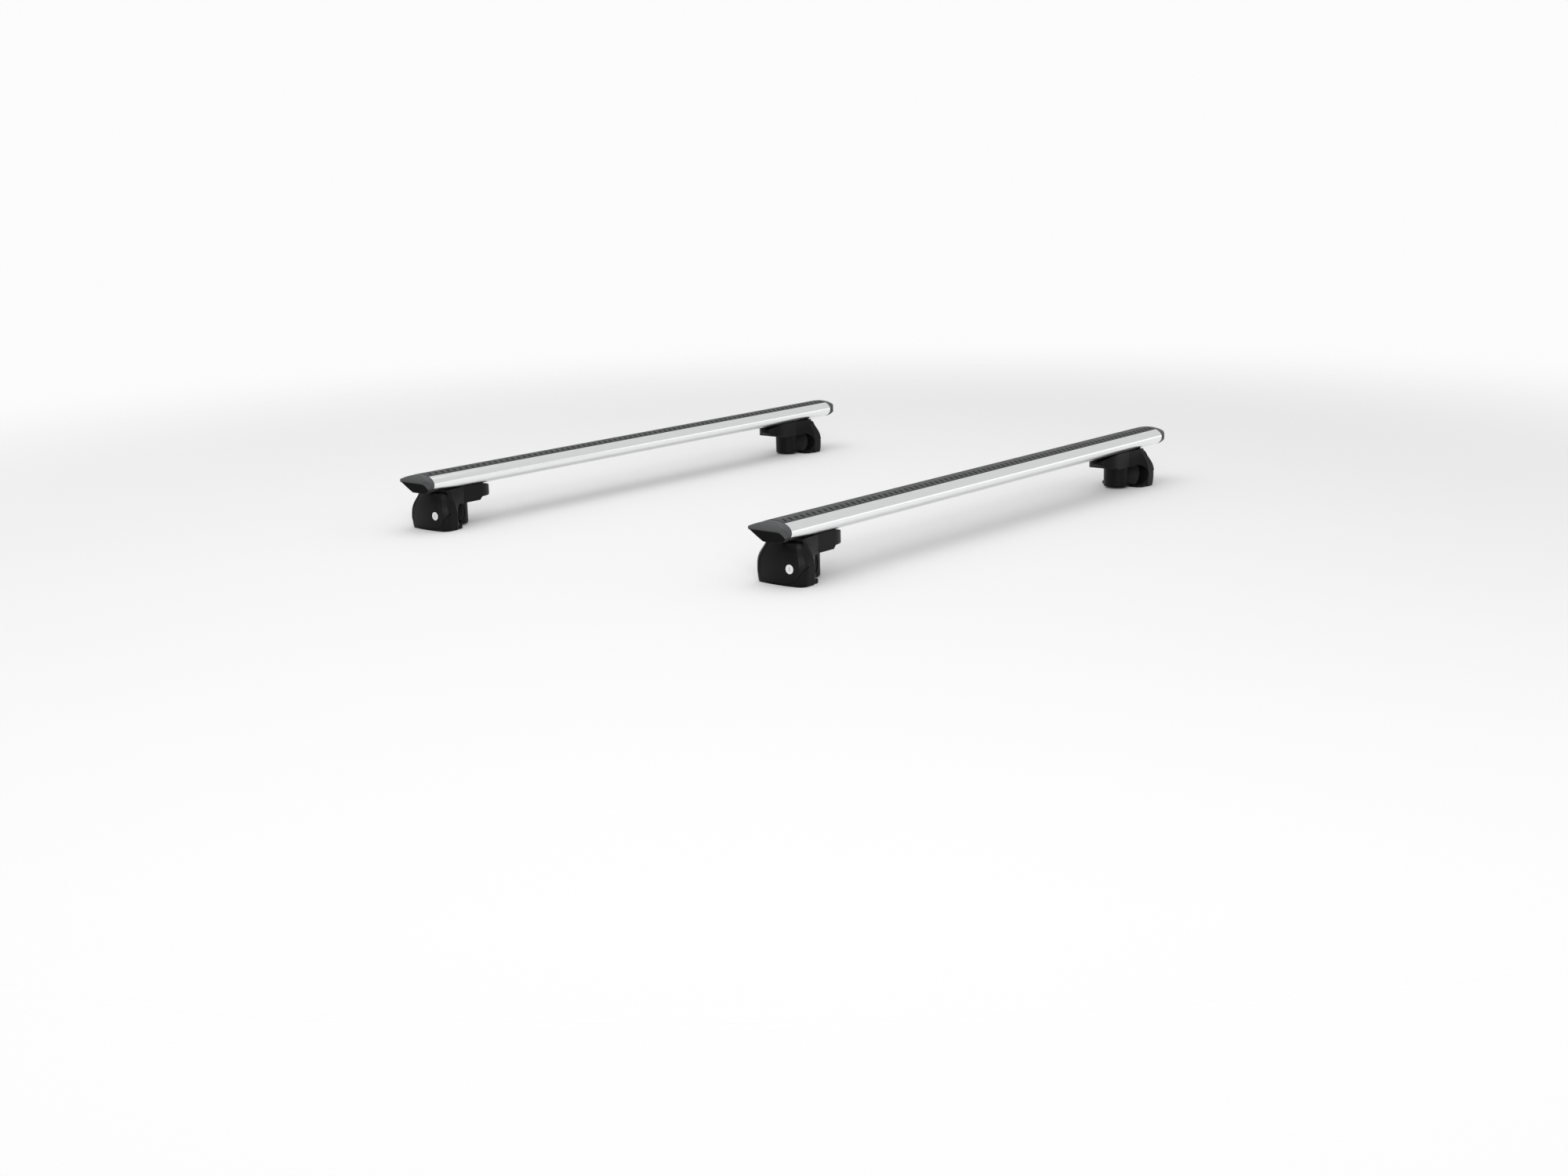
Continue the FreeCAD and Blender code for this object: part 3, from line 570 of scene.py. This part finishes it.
class CROSSBARS_OT_top_strips(bpy.types.Operator):
    """Mould each top strip: a slanted grid whose height drops in a row of recesses and in fine grooves"""
    bl_idname = "crossbars.top_strips"
    bl_label = "Top strips"

    def execute(self, context):
        size = context.scene.cross_bar_sizes
        front = -size.chord / 2 + size.strip_setback + STRIP_GAP
        back = front + size.strip_width - 2 * STRIP_GAP
        top = upper_curve(size, -size.strip_rise)
        seat = upper_curve(size, size.strip_depth)
        window_front = (size.vane_setback - STRIP_GAP) / (back - front)
        window_back = window_front + size.vane_length / (back - front)
        wall = 0.006
        end_run = 0.006
        edge_drop = 0.0006
        across = np.concatenate([
            [0.0, 0.010, 0.020, 0.040], [window_front - wall, window_front + wall],
            np.linspace(window_front + 0.03, window_back - 0.03, 6), [window_back - wall, window_back + wall],
            [0.38, 0.44, 0.50, 0.55], (GROOVES[:, None] + np.linspace(-GROOVE_HALF, GROOVE_HALF, 5)).ravel(),
            [0.93, 0.965, 0.985, 1.0]])
        y = front + across * (back - front)
        start, end, _ = bar_place("front")
        pitch = size.vane_pitch
        slots = int((end - start - 2 * size.vane_end) / pitch + 1e-6) + 1
        first = (end - start - (slots - 1) * pitch) / 2
        half = size.vane_width / pitch / 2
        edge = np.array([-0.06, -0.012, 0.012, 0.06])
        cell = np.concatenate([[-0.5, -0.38, -0.28], -half + edge, [0.0], half - edge[::-1], [0.28, 0.38]])
        run = start + first + (np.arange(-1, slots + 1)[:, None] + cell[None, :]).ravel() * pitch
        run = np.concatenate([[start], run[(run > start + 0.0004) & (run < end - 0.0004)], [end]])
        fade = smooth_step((run - start) / end_run) * smooth_step((end - run) / end_run)
        window = smooth_step((across - window_front) / (2 * wall) + 0.5) \
            * smooth_step((window_back - across) / (2 * wall) + 0.5)
        number = (run - start - first) / pitch
        near = np.clip(np.round(number), 0, slots - 1)
        pulse = smooth_step((half - np.abs(number - near)) / 0.024 + 0.5)
        slot = pulse[:, None] * window[None, :]
        groove = smooth_step(1.0 - np.abs(across[:, None] - GROOVES[None, :]) / GROOVE_HALF).sum(axis=1)
        margin = smooth_step(across / 0.020) * smooth_step((1.0 - across) / 0.025)
        lean = np.clip(across, window_front, window_back) - (window_front + window_back) / 2
        x = run[:, None] + STRIP_SLANT * lean[None, :] * (back - front) * fade[:, None]
        lowered = GROOVE_DEPTH * groove + edge_drop * (1 - margin)
        height = np.interp(y, top[:, 0], top[:, 1])[None, :] - size.vane_depth * slot - lowered[None, :]
        # Painted shade mask: full in the recesses, half in the grooves and full on the strip's front wall.
        depth = np.clip(slot + 0.5 * groove[None, :] + (across < 0.02)[None, :], 0, 1)
        rows, columns = x.shape
        for bar in BARS:
            middle = bar_place(bar)[2]
            low = np.interp(y[::-1], seat[:, 0], seat[:, 1])
            under = slice(None, None, 8)
            ring_y = np.concatenate([y, y[::-1][under]])
            points = np.empty((rows, len(ring_y), 3))
            points[:, :columns, 0] = x
            points[:, columns:, 0] = run[:, None]
            points[:, :, 1] = middle + ring_y[None, :]
            points[:, :columns, 2] = tip_level(size) + height
            points[:, columns:, 2] = tip_level(size) + low[under][None, :]
            count = len(ring_y)
            ends = [list(range(count)), list(range((rows - 1) * count, rows * count))]
            faces = grid_faces(rows, count, True) + ends
            piece = new_piece(bar + "_ribbed_strip", points.reshape(-1, 3), faces, strip_rubber(context), 70)
            # Painted shade: the strip's underside is fully darkened, and its top takes the recess shade.
            shade = np.ones((rows, count))
            shade[:, :columns] = depth
            if len(piece.data.vertices) != shade.size:
                raise RuntimeError("the strip's points were merged")
            layer = piece.data.attributes.new("slot_painted_shade", "FLOAT", "POINT")
            layer.data.foreach_set("value", shade.ravel().astype(np.float32))
            carry(piece, ROOT, bar + "_top_strip")
        return {"FINISHED"}


CAP_MARGIN = 0.001
CAP_CREASE = -0.001
CAP_NOSE_RUN = 0.018
CAP_TIP_RUN = 0.006
CAP_BLEND = 0.0012
CAP_CENTRE = np.array([-0.004, -0.004])


def cap_reach_at(size, y, z):
    """How far the cap reaches at a point of the section, the least of a sloping top, a slanted end and a round nose,
    and how much the point belongs to the slanted end, which is matt and darkened with painted shade."""
    reach = size.cap_reach
    foot = size.cap_foot_reach
    top = size.crown_height + CAP_MARGIN
    low = -size.belly_depth - CAP_MARGIN
    left = np.sqrt(np.clip((top - z) / (top - CAP_CREASE), 0.0, None))
    upper = reach * left ** 2 + 2 * 0.78 * reach * left * (1 - left)
    lower = foot + (reach - foot) * (z - low) / (CAP_CREASE - low)
    side = smooth_min(upper, lower, 0.0008)
    half = size.chord / 2 + CAP_MARGIN
    ahead = np.clip((y + half) / CAP_NOSE_RUN, 0.0, 1.0)
    behind = np.clip((half - y) / CAP_TIP_RUN, 0.0, 1.0)
    plan_nose = reach * (1 - (1 - np.sqrt(ahead)) ** 2)
    plan_tip = reach - CAP_TIP_RUN * (1 - np.sqrt(behind)) ** 2
    matt = smooth_step((upper - lower) / CAP_BLEND) * smooth_step((plan_nose - side) / CAP_BLEND)
    return smooth_min(smooth_min(side, plan_nose, CAP_BLEND), plan_tip, 0.001), matt


class CROSSBARS_OT_end_caps(bpy.types.Operator):
    """Mould the end caps: the wing outline shrunk in rings, each point pushed out as far as the cap reaches there"""
    bl_idname = "crossbars.end_caps"
    bl_label = "End caps"

    def execute(self, context):
        size = context.scene.cross_bar_sizes
        outline = wing_outline(size)
        count = len(outline)
        spoke = outline - CAP_CENTRE
        spoke_length = np.linalg.norm(spoke, axis=1)
        edge = size.cap_round

        def ring(inset):
            """The outline moved towards its centre by an inset along each spoke."""
            share = 1 - np.clip(inset / spoke_length, 0, 1)
            return CAP_CENTRE + spoke * share[:, None]

        rim = ring(np.full(count, edge))
        rim_reach, rim_matt = cap_reach_at(size, rim[:, 0], rim[:, 1])
        bare = np.zeros(count)
        rings = [(outline, bare, bare), (outline, np.maximum(rim_reach - edge, 0.0004), bare)]
        for angle in np.radians([22.5, 45.0, 67.5]):
            inset = edge * (1 - math.cos(angle))
            lift = np.maximum(rim_reach - edge * (1 - math.sin(angle)), 0.0004)
            rings.append((ring(np.full(count, inset)), lift, rim_matt * math.sin(angle)))
        rings.append((rim, rim_reach, rim_matt))
        for share in np.linspace(0.02, 0.98, 64):
            place = rim + (CAP_CENTRE - rim) * share
            rings.append((place, *cap_reach_at(size, place[:, 0], place[:, 1])))
        section = np.stack([place for place, _, _ in rings])
        reach = np.stack([value for _, value, _ in rings])
        matt = np.stack([value for _, _, value in rings]).astype(np.float32)
        rows = len(rings)
        for bar in BARS:
            start, end, middle = bar_place(bar)
            for side, x0, sign in (("right", start, -1.0), ("left", end, 1.0)):
                points = np.empty((rows, count, 3))
                points[:, :, 0] = x0 + sign * reach
                points[:, :, 1] = middle + section[:, :, 0]
                points[:, :, 2] = tip_level(size) + section[:, :, 1]
                faces = grid_faces(rows, count, True)
                faces += [list(range(count)), list(range((rows - 1) * count, rows * count))]
                piece = new_piece("%s_%s_cap" % (bar, side), points.reshape(-1, 3), faces, cap_plastic(context), 40)
                if len(piece.data.vertices) != matt.size:
                    raise RuntimeError("the cap's points were merged")
                # Mask of the matt end, which also carries its painted shade.
                layer = piece.data.attributes.new("matt_end_painted_shade", "FLOAT", "POINT")
                layer.data.foreach_set("value", matt.ravel())
                carry(piece, ROOT, "%s_%s_end_cap" % (bar, side))
        return {"FINISHED"}


# Feet

FORM_HEIGHT = np.array([0.0, 0.012, 0.030, 0.047, 0.064, 0.078])
FORM_REACH = np.array([0.055, 0.0565, 0.057, 0.0545, 0.048, 0.042])
FORM_HALF = np.array([0.051, 0.053, 0.054, 0.0505, 0.041, 0.036])
FORM_CORNER = np.array([0.014, 0.015, 0.017, 0.016, 0.013, 0.011])
FACE_CROWN = 0.003
FACET_SHARE = 0.9
FACE_HALF = 0.037
PAD_REACH = 0.021
RECESS_SNAP = 0.0007
OUTER_FACE = -0.05


def foot_place(bar, side):
    """Where a foot's rail axis meets the sole, and which way its inner side points along X."""
    low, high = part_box("%s_%s_rail_pad" % (bar, side))
    sign = 1.0 if side == "right" else -1.0
    outer = low.x if sign > 0 else high.x
    return outer + sign * PAD_REACH, (low.y + high.y) / 2, sign


def set_down(local, bar, side):
    """Local foot points (inward, across, up) put in place; the left feet are the same foot turned half round."""
    x0, y0, sign = foot_place(bar, side)
    points = np.array(local, float)
    points[:, 0] = x0 + sign * local[:, 0]
    points[:, 1] = y0 + sign * local[:, 1]
    return points


def lower_edge(foot, y):
    """Height of the cover's lower edge across the foot: flat, then an arc, then a slope of 60 degrees."""
    turn = math.radians(60.0)
    radius = foot.lower_edge_radius
    out = np.clip(np.abs(y) - foot.lower_edge_flat, 0.0, None)
    bend = radius * math.sin(turn)
    arc = radius - np.sqrt(np.clip(radius ** 2 - np.minimum(out, bend) ** 2, 0.0, None))
    return foot.lower_edge_height + arc + np.clip(out - bend, 0.0, None) * math.tan(turn)


class CROSSBARS_OT_foot_covers(bpy.types.Operator):
    """Mould the foot covers: the flared outline of the foot at each height, round over the hinge at the top"""
    bl_idname = "crossbars.foot_covers"
    bl_label = "Foot covers"

    def execute(self, context):
        foot = context.scene.cross_bar_feet
        flank = np.linspace(0.0, 1.0, 12)
        turn = np.radians(np.linspace(0.0, 90.0, 17))[1:]
        face = np.linspace(-1.0, 1.0, 97)[1:-1]
        kinds = np.repeat([0, 1, 2, 1, 0], [len(flank), len(turn), len(face), len(turn), len(flank)])
        sides = np.concatenate([-np.ones(len(flank) + len(turn)), np.where(face < 0, -1.0, 1.0),
                                np.ones(len(flank) + len(turn))])
        along = np.concatenate([flank, turn, face, turn[::-1], flank[::-1]])
        flare = np.interp(0.036, FORM_HEIGHT, FORM_HALF)
        reach_across = np.where(kinds == 2, np.abs(along) * FACE_HALF, flare)
        reach_across = np.where(kinds == 1, FACE_HALF + FORM_CORNER.max() * np.cos(along), reach_across)
        low = lower_edge(foot, reach_across)
        rise = np.linspace(0.0, 1.0, 70)
        over_hinge = foot.thumb_radius * np.sin(np.radians(np.linspace(0.0, 84.0, 15)))[1:]
        below = low[None, :] + (foot.hinge_height - low)[None, :] * rise[:, None]
        above = np.repeat(foot.hinge_height + over_hinge[:, None], len(along), axis=1)
        heights = np.concatenate([below, above])

        lift = np.clip((heights - foot.hinge_height) / foot.thumb_radius, 0.0, 1.0)
        round_top = np.sqrt(1 - lift ** 2)
        reach = spline_through(FORM_HEIGHT, FORM_REACH, heights)
        half = spline_through(FORM_HEIGHT, FORM_HALF, heights) - foot.shoulder_round * (1 - round_top)
        corner = spline_through(FORM_HEIGHT, FORM_CORNER, heights)
        edge = -reach + FACE_CROWN
        angle = np.where(kinds == 1, along, 0.5)
        facet = np.minimum(1 / np.maximum(np.cos(angle), np.sin(angle)), 1 / np.cos(angle - math.pi / 4))
        bulge = corner * (1 + FACET_SHARE * (facet - 1))[None, :]
        u_flank = -foot.cover_edge + (edge + corner + foot.cover_edge) * along[None, :]
        u_corner = edge + corner - bulge * np.sin(angle)[None, :]
        y_corner = half - corner + bulge * np.cos(angle)[None, :]
        y_face = np.abs(along)[None, :] * (half - corner)
        u_face = -reach + FACE_CROWN * along[None, :] ** 2
        u = np.where(kinds == 0, u_flank, np.where(kinds == 1, u_corner, u_face))
        y = np.where(kinds == 0, half, np.where(kinds == 1, y_corner, y_face)) * sides[None, :]
        from_hinge = u[len(rise) - 1] + foot.hinge_reach
        middle = -foot.hinge_reach - u[:, len(along) // 2][:, None]
        widest = middle[len(rise) - 1]
        drawn_in = smooth_min(middle, widest * round_top, 0.003 * lift + 1e-6) / widest
        u = np.where(lift > 0, -foot.hinge_reach + from_hinge * np.where(from_hinge < 0, drawn_in, round_top), u)

        across = y + foot.lock_offset
        upright = heights - foot.lock_height
        from_lock = np.hypot(across, upright)
        near = (np.abs(from_lock - foot.lock_recess) < RECESS_SNAP) & (u < OUTER_FACE)
        grow = np.where(near, foot.lock_recess / np.maximum(from_lock, 1e-6), 1.0)
        y = -foot.lock_offset + across * grow
        heights = foot.lock_height + upright * grow
        u = np.where((from_lock < foot.lock_recess - RECESS_SNAP) & (u < OUTER_FACE), -foot.lock_floor, u)

        local = np.stack([u, y, heights], axis=-1).reshape(-1, 3)
        wall_share = np.clip(1.3 * round_top[:, 0] - 0.1, 0.04, 1.0).tolist()
        faces = [quad[::-1] for quad in grid_faces(*u.shape, False)]
        for bar, side in FEET:
            piece = new_piece("%s_%s_cover_shell" % (bar, side), set_down(local, bar, side), faces,
                              cover_plastic(context), 50, outwards=False)
            if len(piece.data.vertices) != len(local):
                raise RuntimeError("the cover's points were merged")
            full = piece.vertex_groups.new(name="Wall")
            for row, share in enumerate(wall_share):
                full.add(list(range(row * len(along), (row + 1) * len(along))), share, "REPLACE")
            wall = piece.modifiers.new("Wall", "SOLIDIFY")
            wall.vertex_group = full.name
            wall.thickness = foot.cover_wall
            wall.offset = -1.0
            carry(piece, "%s_%s_cover_body" % (bar, side), "%s_%s_cover" % (bar, side))
        return {"FINISHED"}


class CROSSBARS_OT_foot_bases(bpy.types.Operator):
    """Finish the foot bases in moulded plastic"""
    bl_idname = "crossbars.foot_bases"
    bl_label = "Foot bases"

    def execute(self, context):
        dress(["%s_%s_foot_base" % foot for foot in FEET], base_plastic(context))
        return {"FINISHED"}


class CROSSBARS_OT_clamp_jaws(bpy.types.Operator):
    """Finish the clamp jaws in moulded plastic"""
    bl_idname = "crossbars.clamp_jaws"
    bl_label = "Clamp jaws"

    def execute(self, context):
        dress(["%s_%s_clamp_jaw" % foot for foot in FEET], jaw_plastic(context))
        return {"FINISHED"}


class CROSSBARS_OT_rubber_pads(bpy.types.Operator):
    """Finish the rail pads, jaw pads and lower strips in rubber"""
    bl_idname = "crossbars.rubber_pads"
    bl_label = "Rubber pads"

    def execute(self, context):
        dress(["%s_%s_rail_pad" % foot for foot in FEET], pad_rubber(context))
        dress(["%s_%s_jaw_pad" % foot for foot in FEET], pad_rubber(context))
        dress([bar + "_lower_strip" for bar in BARS], infill_rubber(context))
        return {"FINISHED"}


class CROSSBARS_OT_locks(bpy.types.Operator):
    """Finish the lock plugs"""
    bl_idname = "crossbars.locks"
    bl_label = "Locks"

    def execute(self, context):
        dress(["%s_%s_lock_cylinder" % foot for foot in FEET], lock_metal(context))
        return {"FINISHED"}


class CROSSBARS_OT_hardware(bpy.types.Operator):
    """Finish the plated screws, nuts, pins, cams and sliding plates"""
    bl_idname = "crossbars.hardware"
    bl_label = "Hardware"

    def execute(self, context):
        for piece in ("jaw_nut", "clamp_screw", "hinge_pin", "lock_cam", "bar_slider", "bar_bolts"):
            dress(["%s_%s_%s" % (bar, side, piece) for bar, side in FEET], steel(context))
        return {"FINISHED"}


# Stage

def lamp(name, place, aim, width, height, power):
    light = bpy.data.lights.new(name, "AREA")
    light.shape = "RECTANGLE"
    light.size = width
    light.size_y = height
    light.energy = power
    lamp_object = bpy.data.objects.new(name, light)
    lamp_object.location = place
    lamp_object.rotation_euler = (Vector(aim) - Vector(place)).to_track_quat("-Z", "Y").to_euler()
    lamp_object.visible_camera = False
    bpy.context.scene.collection.objects.link(lamp_object)


def pale_floor(settings):
    """A floor that fades into the backdrop with distance and lights what stands on it only softly."""
    material = bpy.data.materials.new("Pale floor")
    material.use_nodes = True
    nodes, links = material.node_tree.nodes, material.node_tree.links
    shader = nodes["Principled BSDF"]
    shader.inputs["Roughness"].default_value = 0.8
    shader.inputs["Specular IOR Level"].default_value = 0.1
    path = nodes.new("ShaderNodeLightPath")
    tone = nodes.new("ShaderNodeMix")
    tone.data_type = "RGBA"
    share = nodes.new("ShaderNodeMapRange")
    share.inputs["To Min"].default_value = settings.floor_bounce
    mirrored = nodes.new("ShaderNodeMath")
    mirrored.operation = "SUBTRACT"
    links.new(path.outputs["Is Glossy Ray"], mirrored.inputs[0])
    links.new(path.outputs["Diffuse Depth"], mirrored.inputs[1])
    links.new(mirrored.outputs[0], share.inputs["Value"])
    seen = nodes.new("ShaderNodeMath")
    seen.operation = "MAXIMUM"
    links.new(share.outputs["Result"], seen.inputs[0])
    links.new(path.outputs["Is Camera Ray"], seen.inputs[1])
    links.new(seen.outputs[0], tone.inputs["Factor"])
    tone.inputs[6].default_value = (0.0, 0.0, 0.0, 1.0)
    tone.inputs[7].default_value = (*settings.floor, 1.0)
    links.new(tone.outputs[2], shader.inputs["Base Color"])
    place = nodes.new("ShaderNodeTexCoord")
    away = nodes.new("ShaderNodeVectorMath")
    away.operation = "LENGTH"
    links.new(place.outputs["Object"], away.inputs[0])
    fade = nodes.new("ShaderNodeMapRange")
    fade.interpolation_type = "SMOOTHERSTEP"
    fade.inputs["From Min"].default_value = 0.9
    fade.inputs["From Max"].default_value = settings.floor_radius
    fade.inputs["To Min"].default_value = 1.0
    fade.inputs["To Max"].default_value = 0.0
    links.new(away.outputs["Value"], fade.inputs["Value"])
    links.new(fade.outputs["Result"], shader.inputs["Alpha"])
    side = settings.floor_radius * np.array([-1.0, 1.0])
    x, y = np.meshgrid(side, side)
    points = np.stack([x, y, np.zeros_like(x)], axis=-1).reshape(-1, 3)
    mesh = bpy.data.meshes.new("Floor")
    mesh.from_pydata(points.tolist(), [], [[0, 1, 3, 2]])
    mesh.materials.append(material)
    return bpy.data.objects.new("Floor", mesh)


class CROSSBARS_OT_stage(bpy.types.Operator):
    """Set up the pale floor, the soft light and the camera"""
    bl_idname = "crossbars.stage"
    bl_label = "Stage"

    def execute(self, context):
        settings = context.scene.cross_bar_stage
        scene = context.scene
        scene.view_settings.view_transform = "Standard"
        world = bpy.data.worlds.new("Studio")
        world.use_nodes = True
        scene.world = world
        nodes, links = world.node_tree.nodes, world.node_tree.links
        sky = nodes["Background"]
        ray = nodes.new("ShaderNodeTexCoord")
        parts = nodes.new("ShaderNodeSeparateXYZ")
        links.new(ray.outputs["Generated"], parts.inputs["Vector"])
        overhead = nodes.new("ShaderNodeMapRange")
        overhead.interpolation_type = "SMOOTHSTEP"
        overhead.inputs["From Min"].default_value = settings.backdrop_top
        overhead.inputs["From Max"].default_value = settings.ceiling_from
        links.new(parts.outputs["Z"], overhead.inputs["Value"])
        tone = nodes.new("ShaderNodeMix")
        tone.data_type = "RGBA"
        links.new(overhead.outputs["Result"], tone.inputs["Factor"])
        tone.inputs[6].default_value = (*settings.backdrop, 1.0)
        tone.inputs[7].default_value = (*(settings.ceiling_share * part for part in settings.backdrop), 1.0)
        links.new(tone.outputs[2], sky.inputs["Color"])
        sky.inputs["Strength"].default_value = 1.0
        floor = pale_floor(settings)
        scene.collection.objects.link(floor)

        lamp("Overhead", (-0.4, 0.4, 3.0), (0.0, 0.1, 0.0), 3.6, 3.0, 36.0)
        lamp("Long softbox", (3.6, -3.9, 0.55), (0.0, 0.0, 0.15), 5.6, 0.9, 5.0)
        lamp("Camera side", (-4.0, -3.6, 2.40), (-0.5, -0.3, 0.10), 2.2, 3.4, 130.0)

        back = Vector((math.sin(settings.azimuth) * math.cos(settings.elevation),
                       -math.cos(settings.azimuth) * math.cos(settings.elevation), math.sin(settings.elevation)))
        right = (-back).cross(Vector((0.0, 0.0, 1.0))).normalized()
        up = right.cross(-back)
        turned_right = right * math.cos(settings.roll) + up * math.sin(settings.roll)
        turned_up = up * math.cos(settings.roll) - right * math.sin(settings.roll)
        turn = Matrix((turned_right, turned_up, back)).transposed().to_4x4()
        data = bpy.data.cameras.new("Photograph")
        data.sensor_fit = "HORIZONTAL"
        data.sensor_width = 36.0
        data.lens = 36.0 * settings.focal_share
        data.clip_end = 60.0
        camera = bpy.data.objects.new("Photograph", data)
        camera.matrix_world = Matrix.Translation(Vector(settings.camera_place)) @ turn
        scene.collection.objects.link(camera)
        scene.camera = camera
        return {"FINISHED"}


OPERATORS = (CROSSBARS_OT_wing_bars, CROSSBARS_OT_top_strips, CROSSBARS_OT_end_caps, CROSSBARS_OT_foot_covers,
             CROSSBARS_OT_foot_bases, CROSSBARS_OT_clamp_jaws, CROSSBARS_OT_rubber_pads, CROSSBARS_OT_locks,
             CROSSBARS_OT_hardware, CROSSBARS_OT_stage)


class CROSSBARS_PT_panel(bpy.types.Panel):
    """Lists the pieces of the cross bars"""
    bl_idname = "CROSSBARS_PT_panel"
    bl_label = "Cross bars"
    bl_space_type = "VIEW_3D"
    bl_region_type = "UI"
    bl_category = "Cross bars"

    def draw(self, context):
        for operator in OPERATORS:
            self.layout.operator(operator.bl_idname)


CLASSES = (WingBarSizes, FootSizes, BarFinishes, StageSettings) + OPERATORS + (CROSSBARS_PT_panel,)


def register():
    for item in CLASSES:
        bpy.utils.register_class(item)
    bpy.types.Scene.cross_bar_sizes = bpy.props.PointerProperty(type=WingBarSizes)
    bpy.types.Scene.cross_bar_feet = bpy.props.PointerProperty(type=FootSizes)
    bpy.types.Scene.cross_bar_finishes = bpy.props.PointerProperty(type=BarFinishes)
    bpy.types.Scene.cross_bar_stage = bpy.props.PointerProperty(type=StageSettings)


def unregister():
    del bpy.types.Scene.cross_bar_stage
    del bpy.types.Scene.cross_bar_finishes
    del bpy.types.Scene.cross_bar_feet
    del bpy.types.Scene.cross_bar_sizes
    for item in reversed(CLASSES):
        bpy.utils.unregister_class(item)


def main():
    register()
    bpy.ops.crossbars.wing_bars()
    bpy.ops.crossbars.top_strips()
    bpy.ops.crossbars.end_caps()
    bpy.ops.crossbars.foot_covers()
    bpy.ops.crossbars.foot_bases()
    bpy.ops.crossbars.clamp_jaws()
    bpy.ops.crossbars.rubber_pads()
    bpy.ops.crossbars.locks()
    bpy.ops.crossbars.hardware()
    bpy.ops.crossbars.stage()


if __name__ == "__main__":
    main()
